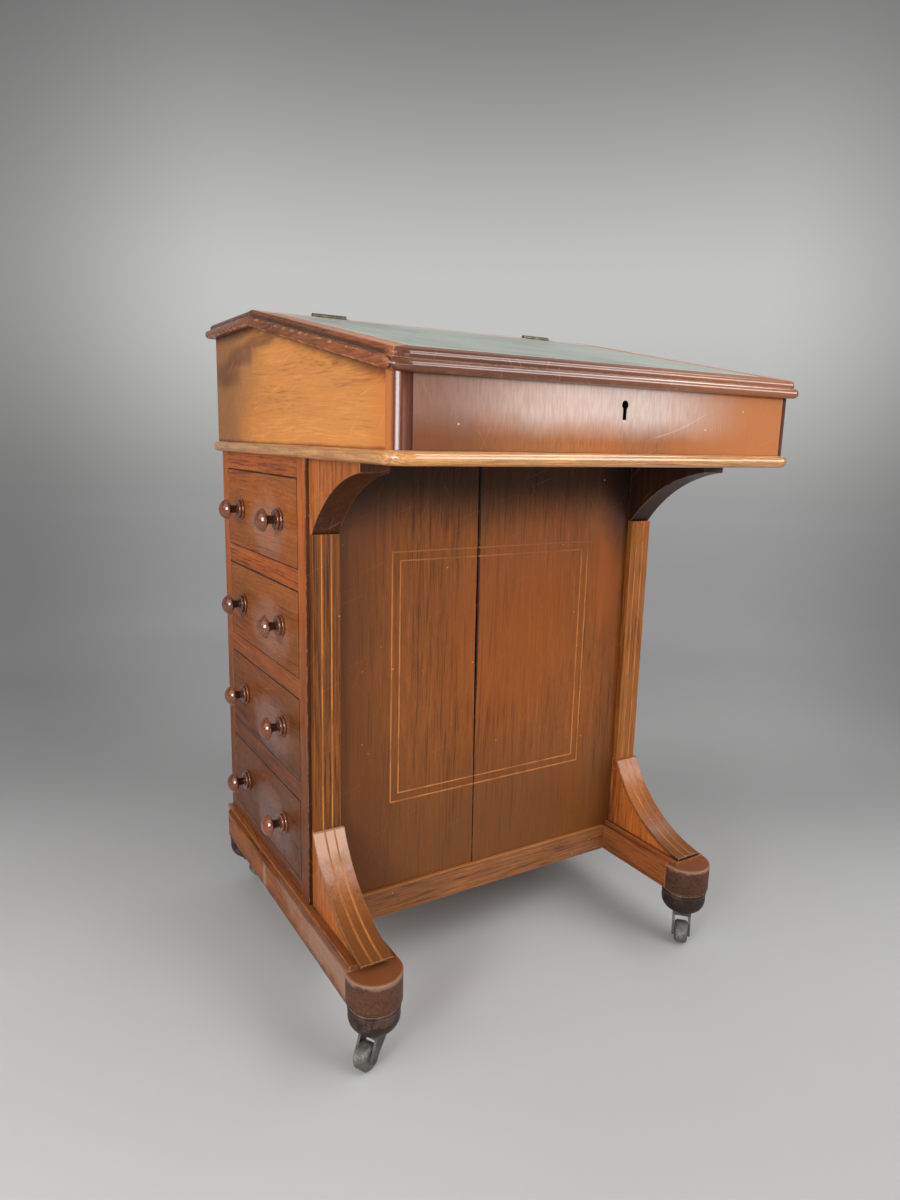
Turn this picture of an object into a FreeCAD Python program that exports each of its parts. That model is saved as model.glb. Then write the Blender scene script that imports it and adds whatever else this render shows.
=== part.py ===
import FreeCAD, Part
import Sketcher
import math
import os
import re

# Davenport desk. Millimetres. +Z is up, the front faces -Y, and the origin is on the floor
# under the middle of the desk. The four working drawers open towards -X.

# Driving sizes: each is one real measure of the desk, written once.
SIZES = {
    # castors and the turned buns that hold them
    "wheel_radius": 15,
    "wheel_width": 17,
    "wheel_edge": 2.5,
    "axle_radius": 2.5,
    "axle_play": 0.05,
    "fork_side_play": 0.8,
    "fork_arm": 3,
    "fork_eye": 6,
    "fork_crown_radius": 12,
    "fork_crown": 5,
    "fork_crown_set_in": 2,
    "castor_trail": 15,
    "castor_height": 43,
    "castor_plate_radius": 15,
    "castor_plate": 1.5,
    "castor_pin_radius": 4,
    "castor_pin_play": 0.05,
    "castor_pin_head": 6,
    "castor_pin_head_thick": 1.5,
    "castor_gap": 0.4,
    "heading_front_left": 208,
    "heading_front_right": 224,
    "heading_rear_left": 15,
    "heading_rear_right": 100,
    "bun_radius": 30.5,
    "bun_height": 35,
    "bun_foot_radius": 16.5,
    "bun_turn": 18,
    "bun_turn_height": 17,
    "bun_bead": 5,
    "bun_bead_step": 0.8,
    "bun_bead_curve": 4.3,
    "bun_neck": 2.5,
    "bun_neck_set_in": 3.2,
    # sledge feet, their ledges and the rails between them
    "foot_width": 64,
    "foot_thick": 37,
    "foot_inset": 20,
    "foot_front": 229,
    "foot_rear": 276,
    "foot_nose": 39,
    "foot_arris": 1.5,
    "ledge_thick": 5,
    "ledge_margin": 6,
    "ledge_toe": 5,
    "left_ledge_loss": 13,
    "base_rail_thick": 20,
    "base_rail_proud": 5,
    "base_board_thick": 8,
    # pedestal
    "body_half": 262,
    "body_front": 56,
    "body_depth": 320,
    "panel_thick": 14,
    "stile_width": 25,
    "stile_thick": 20,
    "bottom_rail": 20.5,
    "blade": 25,
    "top_rail": 22.5,
    "opening_height": 106,
    # drawers
    "drawer_gap": 0.8,
    "drawer_seat_gap": 0.3,
    "drawer_front_thick": 18,
    "drawer_side_thick": 8,
    "drawer_side_drop": 8,
    "drawer_end_room": 50,
    "drawer_bottom_thick": 5,
    "drawer_bottom_rise": 6,
    "runner_thick": 12,
    "runner_width": 23,
    "guide_height": 30,
    "dummy_rebate": 4,
    # turned knobs
    "knob_spacing": 150,
    "knob_flange_radius": 14.2,
    "knob_flange": 3.2,
    "knob_ring_radius": 12.4,
    "knob_ring": 3.6,
    "knob_bead_round": 2.2,
    "knob_bead_set_in": 0.6,
    "knob_quirk": 1.6,
    "knob_quirk_width": 0.6,
    "knob_cove": 2.2,
    "knob_neck_radius": 5,
    "knob_neck_flare": 0.8,
    "knob_head_radius": 14.3,
    "knob_head": 16,
    "knob_rim_height": 5.5,
    "knob_head_curve": 15.2,
    "knob_length": 31,
    # brackets, pilasters and their facings
    "pilaster_width": 33.5,
    "pilaster_inset": 4.5,
    "pilaster_depth": 9,
    "lower_bracket_height": 100,
    "lower_bracket_reach": 141,
    "lower_bracket_waist": 9,
    "lower_bracket_curve": 175,
    "facing_thick": 5,
    "facing_overhang": 3,
    "facing_toe_rise": 5,
    "facing_arris": 1,
    "toe_hollow": 3,
    "upper_bracket_height": 84,
    "upper_bracket_reach": 132,
    "upper_bracket_nose": 10,
    "upper_bracket_tip": 5,
    "upper_bracket_curve": 190,
    # boxwood lines
    "line_width": 1.8,
    "line_depth": 1,
    "line_spacing": 12,
    "frame_line_half": 153,
    "frame_line_low": 230,
    "frame_line_high": 553,
    "frame_line_gap": 11,
    # the split between the two front boards
    "split_low_place": 25,
    "split_high_place": 31,
    "split_bend_place": 29.5,
    "split_bend": 440,
    "split_low_gap": 0.5,
    "split_bend_gap": 2.4,
    "split_high_gap": 1.4,
    # desk case
    "case_overhang": 3,
    "case_front": 276,
    "case_depth": 546,
    "case_board": 14,
    "case_rear_height": 140,
    "case_corner_radius": 18,
    "moulding_thick": 14,
    "moulding_proud": 7,
    "keyhole_radius": 4.5,
    "keyhole_slot": 5,
    "keyhole_drop": 15,
    "keyhole_height": 49,
    # lid and fixed top
    "lid_slope": 10.9,
    "lid_bead": 11,
    "lid_ovolo": 8,
    "lid_ovolo_setback": 7,
    "lid_ovolo_round": 5,
    "lid_corner_radius": 24,
    "top_corner_radius": 8,
    "lid_side_overhang": 12,
    "lid_front_overhang": 10,
    "top_rear_overhang": 16,
    "top_depth": 182,
    "lid_gap": 0.6,
    "lid_seat_gap": 0.3,
    "leather_margin": 40,
    "leather_rear_margin": 24,
    "leather_thick": 1.5,
    # hinges
    "hinge_offset": 165,
    "hinge_length": 46,
    "hinge_leaf": 15,
    "hinge_leaf_thick": 2,
    "knuckle_radius": 3.2,
    "knuckle_gap": 0.3,
    "hinge_pin_radius": 1.5,
    "hinge_pin_play": 0.05,
    "hinge_groove_gap": 0.6,
    # lock
    "lock_half": 32,
    "lock_thick": 13,
    "lock_height": 46,
    "lock_top_drop": 3,
    "bolt_half": 9,
    "bolt_thick": 5,
    "bolt_length": 26,
    "bolt_play": 0.1,
    "strike_half": 24,
    "strike_width": 16,
    "strike_thick": 1.5,
    "strike_slot_play": 2,
    "strike_pocket": 10,
    # nest of two small drawers under the fixed top
    "nest_depth": 126,
    "nest_shelf_thick": 8,
    "nest_height": 76,
    "nest_divider": 8,
    "small_drawer_gap": 0.8,
    "small_drawer_front": 10,
    "small_drawer_side": 6,
    "small_drawer_bottom": 4,
    "small_knob_radius": 7,
    "small_knob_foot": 4.2,
    "small_knob_neck": 3.5,
    "small_knob_neck_length": 5.6,
    "small_knob_rim": 8.4,
    "small_knob_curve": 7.35,
    "small_knob_length": 14,
}

# Places that follow from the driving sizes, as formulas of the same sheet language.
PLACES = {
    "axle_height": "wheel_radius",
    "bun_bottom": "castor_height",
    "foot_bottom": "bun_bottom + bun_height",
    "foot_top": "foot_bottom + foot_thick",
    "foot_offset": "body_half - foot_inset",
    "foot_half": "foot_width / 2",
    "foot_inner": "foot_offset - foot_half",
    "foot_outer": "foot_offset + foot_half",
    "front_bun": "-foot_front + foot_half",
    "rear_bun": "foot_rear - foot_half",
    "ledge_top": "foot_top + ledge_thick",
    "ledge_outer": "foot_outer - ledge_margin",
    "front_face": "-body_front",
    "rear_face": "front_face + body_depth",
    "front_back": "front_face + panel_thick",
    "rear_back": "rear_face - panel_thick",
    "body_inner": "body_half - stile_thick",
    "opening_front": "front_face + stile_width",
    "opening_rear": "rear_face - stile_width",
    "opening_middle": "(opening_front + opening_rear) / 2",
    "first_opening": "ledge_top + bottom_rail",
    "opening_pitch": "opening_height + blade",
    "top_opening_end": "first_opening + 3 * opening_pitch + opening_height",
    "body_top": "top_opening_end + top_rail",
    "pilaster_outer": "body_half - pilaster_inset",
    "pilaster_inner": "pilaster_outer - pilaster_width",
    "pilaster_face": "front_face - pilaster_depth",
    "pilaster_middle": "(pilaster_outer + pilaster_inner) / 2",
    "lower_bracket_top": "ledge_top + lower_bracket_height",
    "lower_bracket_toe": "front_face - lower_bracket_reach",
    "upper_bracket_low": "body_top - upper_bracket_height",
    "upper_bracket_front": "front_face - upper_bracket_reach",
    "case_half": "body_half + case_overhang",
    "case_floor": "body_top + moulding_thick",
    "case_face": "-case_front",
    "case_rear": "case_face + case_depth",
    "case_inner": "case_half - case_board",
    "case_face_inner": "case_face + case_board",
    "case_rear_inner": "case_rear - case_board",
    "post_back": "case_face + case_corner_radius",
    "post_inner": "case_half - case_corner_radius",
    "ridge_z": "case_floor + case_rear_height",
    "top_rear": "case_rear + top_rear_overhang",
    "ridge_y": "top_rear - top_depth",
    "slope_rise": "tan(lid_slope * 1 deg)",
    "slope_cos": "cos(lid_slope * 1 deg)",
    "slope_sin": "sin(lid_slope * 1 deg)",
    "lid_thick": "lid_bead + lid_ovolo",
    "lid_half": "case_half + lid_side_overhang",
    "lid_front": "case_face - lid_front_overhang",
    "lid_run": "(ridge_y - lid_front - lid_bead / 2 * slope_sin) / slope_cos",
    "lid_overrun": "lid_thick",
    "hinge_axis_y": "ridge_y - lid_gap / 2",
    "hinge_axis_z": "ridge_z + lid_thick + 1",
    "hinge_leaf_low": "lid_thick - hinge_leaf_thick",
    "hinge_tongue_end": "(hinge_leaf_low * slope_sin - lid_gap / 2) / slope_cos",
    "keyhole_z": "case_floor + keyhole_height",
    "case_front_inner_top": "ridge_z - (ridge_y - case_face_inner) * slope_rise",
    "lock_top": "case_front_inner_top - lock_top_drop",
    "lock_back": "case_face_inner + lock_thick",
    "bolt_y": "case_face_inner + lock_thick / 2",
    "strike_middle": "(bolt_y - ridge_y) / slope_cos",
    "nest_front": "case_rear_inner - nest_depth",
    "nest_top": "case_floor + nest_height",
    "drawer_side_end": "body_half - drawer_front_thick - drawer_end_room",
}

doc = FreeCAD.newDocument("davenport_desk")
sizes = doc.addObject("Spreadsheet::Sheet", "sizes")
places = doc.addObject("Spreadsheet::Sheet", "places")
workings = doc.addObject("Spreadsheet::Sheet", "workings")
nodes = {}
WORD = re.compile(r"[a-z][a-z_]*[0-9]?")
NEAR = 0.001


def formula(text):
    """Text with each plain size name written as a reference to its sheet."""

    def refer(match):
        word = match.group(0)
        if word in SIZES:
            return "sizes." + word
        if word in PLACES:
            return "places." + word
        return word

    return WORD.sub(refer, text)


def fill_sheets():
    for row, (alias, size) in enumerate(SIZES.items(), start=1):
        sizes.set(f"A{row}", alias.replace("_", " "))
        sizes.set(f"B{row}", str(size))
        sizes.setAlias(f"B{row}", alias)
    for row, (alias, text) in enumerate(PLACES.items(), start=1):
        places.set(f"A{row}", alias.replace("_", " "))
        places.set(f"B{row}", "=" + formula(text))
        places.setAlias(f"B{row}", alias)
    doc.recompute()


def number(text):
    """The value of a formula, worked out in a cell of a sheet kept for that."""
    workings.set("A1", "=" + formula(text))
    workings.recompute()
    return float(workings.get("A1"))


def keep(name, piece):
    """Make a piece a node of its own, called name."""
    piece.Label = name
    nodes[name] = piece
    return piece


def bind(piece, **formulas):
    for path, text in formulas.items():
        piece.setExpression(path.replace("__", "."), formula(text))
    return piece


def place(piece, x="0", y="0", z="0"):
    for axis, text in zip("xyz", (x, y, z)):
        piece.setExpression("Placement.Base." + axis, formula(text))
    return piece


def turn(piece, axis, angle):
    """Turn a piece about an axis through its own origin by an angle formula in degrees."""
    piece.Placement = FreeCAD.Placement(FreeCAD.Vector(), FreeCAD.Rotation(FreeCAD.Vector(*axis), 1))
    piece.setExpression("Placement.Rotation.Angle", f"({formula(angle)}) * 1 deg")
    return piece


def board(name, x, y, z):
    """A straight board between a low and a high formula along each axis."""
    box = doc.addObject("Part::Box", name)
    for side, (low, high) in zip(("Length", "Width", "Height"), (x, y, z)):
        box.setExpression(side, formula(f"({high}) - ({low})"))
    return place(box, x[0], y[0], z[0])


def rod(name, radius, length, x="0", y="0", z="0", axis="z"):
    """A round rod of a radius and a length formula from (x, y, z) along +x, +y or +z."""
    cylinder = doc.addObject("Part::Cylinder", name)
    bind(cylinder, Radius=radius, Height=length)
    turns = {"x": ((0, 1, 0), "90"), "y": ((1, 0, 0), "-90")}
    if axis in turns:
        turn(cylinder, *turns[axis])
    return place(cylinder, x, y, z)


def cut(name, base, *tools):
    for step, tool in enumerate(tools):
        result = doc.addObject("Part::Cut", f"{name}_cut{step}")
        result.Base = base
        result.Tool = tool
        base = result
    return base


def common(name, first, second):
    result = doc.addObject("Part::Common", name)
    result.Base = first
    result.Tool = second
    return result


def fuse(name, *shapes):
    result = doc.addObject("Part::MultiFuse", name)
    result.Shapes = list(shapes)
    result.Refine = True
    return result


def group(name, *pieces):
    """Several separate solids of one kind in one node."""
    result = doc.addObject("Part::Compound", name + "_group")
    result.Links = list(pieces)
    return result


def mirror(name, piece):
    """The same piece on the other side of the desk's middle plane."""
    result = doc.addObject("Part::Mirroring", name)
    result.Source = piece
    result.Normal = (1, 0, 0)
    return result


def body(name):
    return doc.addObject("PartDesign::Body", name)


def origin_plane(owner, role):
    return next(feature for feature in owner.Origin.OriginFeatures if feature.Role == role)


def sketch(owner, name, plane, rise="0"):
    """A sketch on one of its own body's origin planes, lifted off it by a formula."""
    drawn = owner.newObject("Sketcher::SketchObject", name)
    drawn.AttachmentSupport = [(origin_plane(owner, plane), "")]
    drawn.MapMode = "FlatFace"
    return bind(drawn, AttachmentOffset__Base__z=rise)


def fix_point(drawn, item, end, corner):
    """Hold one point of a sketch at its two formulas."""
    for kind, text in zip(("DistanceX", "DistanceY"), corner):
        held = drawn.addConstraint(Sketcher.Constraint(kind, -1, 1, item, end, number(text)))
        drawn.setExpression(f"Constraints[{held}]", formula(text))


def arc_between(start, end, radius, side):
    """A minor arc from start to end whose centre lies on the left (+1) or right (-1)."""
    chord = end - start
    reach = math.sqrt(max(radius**2 - (chord.Length / 2) ** 2, 0))
    across = FreeCAD.Vector(-chord.y, chord.x, 0).normalize()
    centre = (start + end) * 0.5 + across * reach * side
    first, last = (start, end) if side > 0 else (end, start)
    angles = [math.atan2(point.y - centre.y, point.x - centre.x) for point in (first, last)]
    return Part.ArcOfCircle(Part.Circle(centre, FreeCAD.Vector(0, 0, 1), radius), *angles)


def outline(drawn, corners):
    """Draw a closed outline. A corner is (u, v), or (u, v, radius, side) where an arc leaves it."""
    spots = [FreeCAD.Vector(number(corner[0]), number(corner[1]), 0) for corner in corners]
    first = drawn.GeometryCount
    ends = []
    for step, corner in enumerate(corners):
        start, end = spots[step], spots[(step + 1) % len(spots)]
        if len(corner) == 2:
            drawn.addGeometry(Part.LineSegment(start, end))
            ends.append((1, 2))
        else:
            drawn.addGeometry(arc_between(start, end, number(corner[2]), corner[3]))
            ends.append((1, 2) if corner[3] > 0 else (2, 1))
    for step, corner in enumerate(corners):
        after = (step + 1) % len(corners)
        joined = (first + step, ends[step][1], first + after, ends[after][0])
        drawn.addConstraint(Sketcher.Constraint("Coincident", *joined))
        fix_point(drawn, first + step, ends[step][0], corner[:2])
        if len(corner) > 2:
            held = drawn.addConstraint(Sketcher.Constraint("Radius", first + step, number(corner[2])))
            drawn.setExpression(f"Constraints[{held}]", formula(corner[2]))
    return drawn


def pad(owner, name, drawn, length, both_ways=False, back=False):
    made = owner.newObject("PartDesign::Pad", name)
    made.Profile = drawn
    made.Reversed = back
    if both_ways:
        made.SideType = "Symmetric"
    return bind(made, Length=length)


def pocket(owner, name, drawn, depth, both_ways=False, back=False):
    made = owner.newObject("PartDesign::Pocket", name)
    made.Profile = drawn
    made.Reversed = back
    if both_ways:
        made.SideType = "Symmetric"
    return bind(made, Length=depth)


def revolve(owner, name, drawn, axis):
    made = owner.newObject("PartDesign::Revolution", name)
    made.Profile = drawn
    made.ReferenceAxis = (drawn, [axis])
    made.Angle = 360
    return made


def fillet_at(owner, name, base, radius, wanted):
    """Round the edges of a feature that a test on each edge picks out."""
    doc.recompute()
    picked = [f"Edge{n}" for n, edge in enumerate(base.Shape.Edges, start=1) if wanted(edge)]
    made = owner.newObject("PartDesign::Fillet", name)
    made.Base = (base, picked)
    return bind(made, Radius=radius)


def lies_at(height):
    """A test for edges that run level at a height."""

    def test(edge):
        box = edge.BoundBox
        return abs(box.ZMin - height) < NEAR and abs(box.ZMax - height) < NEAR

    return test


def is_arc(radius):
    """A test for edges that are arcs of a radius."""
    return lambda edge: abs(getattr(edge.Curve, "Radius", 0) - radius) < NEAR


# ---------------------------------------------------------------- feet and castors


def sledge_foot(side):
    """A long foot with round ends, the front one a block of its own."""
    name = f"sledge_foot_{side}"
    middle = "-foot_offset" if side == "left" else "foot_offset"
    whole = body(name + "_whole")
    corners = [
        ("-foot_half", "front_bun", "foot_half", 1),
        ("0", "-foot_front", "foot_half", 1),
        ("foot_half", "front_bun"),
        ("foot_half", "rear_bun", "foot_half", 1),
        ("0", "foot_rear", "foot_half", 1),
        ("-foot_half", "rear_bun"),
    ]
    drawn = outline(sketch(whole, name + "_plan", "XY_Plane"), corners)
    pad(whole, name + "_pad", drawn, "foot_thick")
    for step, level in (("low", 0), ("high", number("foot_thick"))):
        fillet_at(whole, f"{name}_arris_{step}", whole.Tip, "foot_arris", lies_at(level))
    place(whole, middle, z="foot_bottom")
    width = (f"{middle} - foot_half - 1", f"{middle} + foot_half + 1")
    joint = ("-foot_front - 1", "foot_nose - foot_front")
    room = board(name + "_nose_room", width, joint, ("foot_bottom - 1", "foot_top + 1"))
    keep(name, cut(name, whole, room))
    return common(name + "_nose", whole, room)


def foot_ledges():
    """Thin ledges on the feet that the pedestal and its lower brackets stand on."""
    ledges = []
    for side, sign, loss in (("left", "-", "left_ledge_loss"), ("right", "", "0")):
        owner = body(f"foot_ledge_{side}")
        front = f"lower_bracket_toe - ledge_toe + {loss}"
        inner = "pilaster_inner - ledge_margin"
        back = "rear_face + ledge_margin"
        corners = [
            (f"{sign}ledge_outer", front),
            (f"{sign}ledge_outer", back),
            (f"{sign}body_inner", back),
            (f"{sign}body_inner", "front_face"),
            (f"{sign}({inner})", "front_face"),
            (f"{sign}({inner})", front),
        ]
        drawn = outline(sketch(owner, f"foot_ledge_{side}_plan", "XY_Plane"), corners)
        pad(owner, f"foot_ledge_{side}_pad", drawn, "ledge_thick")
        ledges.append(place(owner, z="foot_top"))
    keep("foot_ledges", group("foot_ledges", *ledges))


def turned_bun(corner, x, y):
    """A turned wooden bun under one end of a foot: a round belly, a bead and a short neck."""
    owner = body(f"bun_{corner}")
    drawn = sketch(owner, f"bun_{corner}_profile", "XZ_Plane")
    belly = "bun_radius - bun_bead_step"
    bead_top = "bun_height - bun_neck"
    neck = "bun_radius - bun_neck_set_in"
    corners = [
        ("0", "0"),
        ("bun_foot_radius", "0", "bun_turn", 1),
        (belly, "bun_turn_height"),
        (belly, f"{bead_top} - bun_bead", "bun_bead_curve", 1),
        (belly, bead_top),
        (neck, bead_top),
        (neck, "bun_height"),
        ("0", "bun_height"),
    ]
    revolve(owner, f"bun_{corner}_turned", outline(drawn, corners), "V_Axis")
    return place(owner, x, y, "bun_bottom")


def castor_plate(corner, x, y):
    """The fixed plate and pin that a castor fork swivels on, with its riveted head."""
    owner = body(f"castor_plate_{corner}")
    drawn = sketch(owner, f"castor_plate_{corner}_profile", "XZ_Plane")
    crown_low = "-castor_plate - castor_gap - fork_crown"
    head_top = f"{crown_low} - castor_gap"
    head_low = f"{head_top} - castor_pin_head_thick"
    corners = [
        ("0", head_low),
        ("castor_pin_head", head_low),
        ("castor_pin_head", head_top),
        ("castor_pin_radius", head_top),
        ("castor_pin_radius", "-castor_plate"),
        ("castor_plate_radius", "-castor_plate"),
        ("castor_plate_radius", "0"),
        ("0", "0"),
    ]
    revolve(owner, f"castor_plate_{corner}_turned", outline(drawn, corners), "V_Axis")
    return place(owner, x, y, "bun_bottom")


def wheel_place(x, y, heading):
    """The middle of a castor wheel, as formulas for its x and its y."""
    run = f"({heading}) * 1 deg"
    return f"{x} + castor_trail * cos({run})", f"{y} + castor_trail * sin({run})"


def castor_fork(corner, x, y, heading):
    """The cast fork of a castor and its axle, trailing towards its heading."""
    name = f"castor_{corner}_fork"
    owner = body(name + "_casting")
    top = "-castor_plate - castor_gap"
    low = f"{top} - fork_crown"
    axle = "axle_height - bun_bottom"
    inside = "wheel_width + 2 * fork_side_play"
    width = f"{inside} + 2 * fork_arm"
    corners = [
        ("fork_crown_set_in - fork_crown_radius", low),
        ("castor_trail - fork_eye", axle, "fork_eye", 1),
        ("castor_trail", f"{axle} - fork_eye", "fork_eye", 1),
        ("castor_trail + fork_eye", axle),
        ("fork_crown_radius", low),
        ("fork_crown_radius", top),
        ("fork_crown_set_in - fork_crown_radius", top),
    ]
    side = outline(sketch(owner, name + "_side", "XZ_Plane"), corners)
    pad(owner, name + "_arms", side, width, both_ways=True)
    crown = owner.newObject("PartDesign::AdditiveCylinder", name + "_crown")
    crown.AttachmentSupport = [(origin_plane(owner, "XY_Plane"), "")]
    crown.MapMode = "FlatFace"
    bind(crown, Radius="fork_crown_radius", Height="fork_crown", AttachmentOffset__Base__z=low)
    clear = "wheel_radius + fork_side_play"
    corners = [
        (f"-({clear})", low),
        (f"-({clear})", f"{axle} - ({clear})"),
        (f"castor_trail + {clear}", f"{axle} - ({clear})"),
        (f"castor_trail + {clear}", low),
    ]
    room = outline(sketch(owner, name + "_room", "XZ_Plane"), corners)
    pocket(owner, name + "_slot", room, inside, both_ways=True)
    place(turn(owner, (0, 0, 1), heading), x, y, "bun_bottom")
    shaft = body(name + "_axle")
    corners = [
        ("0", f"-({width}) / 2"),
        ("axle_radius", f"-({width}) / 2"),
        ("axle_radius", f"({width}) / 2"),
        ("0", f"({width}) / 2"),
    ]
    drawn = outline(sketch(shaft, name + "_axle_profile", "XY_Plane"), corners)
    revolve(shaft, name + "_axle_turned", drawn, "V_Axis")
    place(turn(shaft, (0, 0, 1), heading), *wheel_place(x, y, heading), "axle_height")
    bore = "castor_pin_radius + castor_pin_play"
    drill = rod(name + "_drill", bore, "fork_crown + 2", x, y, f"bun_bottom + {low} - 1")
    keep(name, group(name, cut(name + "_bored", owner, drill, shaft), shaft))


def castor_wheel(corner, x, y, heading):
    """A cast wheel, bored to run on its axle."""
    name = f"castor_{corner}_wheel"
    owner = body(name + "_casting")
    bore = "axle_radius + axle_play"
    half = "wheel_width / 2"
    corners = [
        (bore, f"-{half}"),
        ("wheel_radius - wheel_edge", f"-{half}"),
        ("wheel_radius", f"-{half} + wheel_edge"),
        ("wheel_radius", f"{half} - wheel_edge"),
        ("wheel_radius - wheel_edge", half),
        (bore, half),
    ]
    drawn = outline(sketch(owner, name + "_profile", "XY_Plane"), corners)
    revolve(owner, name + "_turned", drawn, "V_Axis")
    place(turn(owner, (0, 0, 1), heading), *wheel_place(x, y, heading), "axle_height")
    keep(name, owner)


# Each castor trails its own way, as castors stop where they were last pushed.
CASTORS = (
    ("front_left", "-foot_offset", "front_bun", "heading_front_left"),
    ("front_right", "foot_offset", "front_bun", "heading_front_right"),
    ("rear_left", "-foot_offset", "rear_bun", "heading_rear_left"),
    ("rear_right", "foot_offset", "rear_bun", "heading_rear_right"),
)


def feet_and_castors():
    noses = [sledge_foot(side) for side in ("left", "right")]
    keep("foot_noses", group("foot_noses", *noses))
    foot_ledges()
    buns = [turned_bun(corner, x, y) for corner, x, y, heading in CASTORS]
    keep("foot_buns", group("foot_buns", *buns))
    plates = [castor_plate(corner, x, y) for corner, x, y, heading in CASTORS]
    keep("castor_plates", group("castor_plates", *plates))
    for castor in CASTORS:
        castor_fork(*castor)
        castor_wheel(*castor)


# ---------------------------------------------------------------- pedestal


def base():
    span = ("-foot_inner", "foot_inner")
    height = ("foot_bottom", "foot_top")
    front = ("front_face - base_rail_proud", "front_face - base_rail_proud + base_rail_thick")
    rear = ("rear_face + base_rail_proud - base_rail_thick", "rear_face + base_rail_proud")
    rails = [board("base_rail_front", span, front, height), board("base_rail_rear", span, rear, height)]
    keep("base_rails", group("base_rails", *rails))
    inside = ("-body_inner", "body_inner")
    floor = ("foot_top", "foot_top + base_board_thick")
    keep("base_board", board("base_board", inside, ("front_back", "rear_back"), floor))


def opening_low(number_up):
    """The bottom of a drawer opening, counted from the lowest as 0."""
    return f"first_opening + {number_up} * opening_pitch"


def side_frames():
    """Four stiles, and five rails on each side between them."""
    left = ("-body_half", "-body_inner")
    right = ("body_inner", "body_half")
    front = ("front_face", "opening_front")
    rear = ("opening_rear", "rear_face")
    height = ("ledge_top", "body_top")
    stiles = []
    rails = []
    levels = [("ledge_top", "first_opening")]
    for number_up in range(3):
        low = f"{opening_low(number_up)} + opening_height"
        levels.append((low, f"{low} + blade"))
    levels.append(("top_opening_end", "body_top"))
    for side, across in (("left", left), ("right", right)):
        stiles.append(board(f"stile_{side}_front", across, front, height))
        stiles.append(board(f"stile_{side}_rear", across, rear, height))
        for step, level in enumerate(levels):
            rails.append(board(f"rail_{side}_{step}", across, ("opening_front", "opening_rear"), level))
    keep("side_stiles", group("side_stiles", *stiles))
    keep("drawer_rails", group("drawer_rails", *rails))


def dummy_fronts():
    """Fixed fronts that fill the openings on the right, each with a shadow line round it."""
    fronts = []
    inner = "body_half - drawer_front_thick"
    step = "body_half - dummy_rebate"
    for number_up in range(4):
        low = opening_low(number_up)
        name = f"dummy_front_{number_up}"
        high = f"{low} + opening_height"
        back = board(name + "_back", (inner, step), ("opening_front", "opening_rear"), (low, high))
        face = board(
            name + "_face",
            (step, "body_half"),
            ("opening_front + drawer_gap", "opening_rear - drawer_gap"),
            (f"{low} + drawer_gap", f"{high} - drawer_gap"),
        )
        fronts.append(fuse(name, back, face))
    keep("dummy_drawer_fronts", group("dummy_drawer_fronts", *fronts))


def knob(name, side, y, z):
    """A turned knob: a flange, a smaller ring, a narrow neck and a mushroom head, out from a side."""
    owner = body(name)
    ring_top = "knob_flange + knob_ring"
    shoulder = "knob_length - knob_head"
    corners = [
        ("0", "0"),
        ("0", "knob_flange_radius - knob_bead_set_in", "knob_bead_round", -1),
        ("knob_flange", "knob_flange_radius - knob_bead_set_in"),
        ("knob_flange", "knob_ring_radius - knob_quirk"),
        ("knob_flange + knob_quirk_width", "knob_ring_radius - knob_quirk"),
        ("knob_flange + knob_quirk_width", "knob_ring_radius - knob_bead_set_in", "knob_bead_round", -1),
        (ring_top, "knob_ring_radius - knob_bead_set_in"),
        (ring_top, "knob_ring_radius - knob_cove"),
        (f"{ring_top} + knob_cove", "knob_neck_radius"),
        (shoulder, "knob_neck_radius + knob_neck_flare"),
        (f"{shoulder} + knob_rim_height", "knob_head_radius", "knob_head_curve", -1),
        ("knob_length", "0"),
    ]
    drawn = outline(sketch(owner, name + "_profile", "XY_Plane"), corners)
    revolve(owner, name + "_turned", drawn, "H_Axis")
    face, heading = ("-body_half", "180") if side == "left" else ("body_half", "0")
    return place(turn(owner, (0, 0, 1), heading), face, y, z)


def knob_pair(name, side, number_up):
    middle = f"{opening_low(number_up)} + opening_height / 2"
    return [
        knob(f"{name}_front", side, "opening_middle - knob_spacing / 2", middle),
        knob(f"{name}_rear", side, "opening_middle + knob_spacing / 2", middle),
    ]


def front_panel():
    """Two upright boards with a long open split between them, inlaid with a double line."""
    depth = ("front_face", "front_face + line_depth")
    rings = []
    for step, inset in (("outer", "0"), ("inner", "frame_line_gap")):
        half = f"frame_line_half - {inset}"
        low = f"frame_line_low + {inset}"
        high = f"frame_line_high - {inset}"
        full = board(f"frame_line_{step}_full", (f"-({half})", half), depth, (low, high))
        hole = board(
            f"frame_line_{step}_hole",
            (f"-({half} - line_width)", f"{half} - line_width"),
            depth,
            (f"{low} + line_width", f"{high} - line_width"),
        )
        rings.append(cut(f"frame_line_{step}", full, hole))
    rings = fuse("frame_lines", *rings)
    lines = []
    for side, sign, edge in (("left", "-", "-"), ("right", "+", "")):
        owner = body(f"front_board_{side}_blank")
        corners = [
            (f"{edge}body_inner", "foot_top"),
            (f"-split_low_place {sign} split_low_gap / 2", "foot_top"),
            (f"-split_bend_place {sign} split_bend_gap / 2", "split_bend"),
            (f"-split_high_place {sign} split_high_gap / 2", "body_top"),
            (f"{edge}body_inner", "body_top"),
        ]
        drawn = outline(sketch(owner, f"front_board_{side}_face", "XZ_Plane"), corners)
        pad(owner, f"front_board_{side}_pad", drawn, "panel_thick", back=True)
        place(owner, y="front_face")
        lines.append(common(f"frame_line_{side}", rings, owner))
        keep(f"front_board_{side}", cut(f"front_board_{side}", owner, rings))
    return lines


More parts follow.
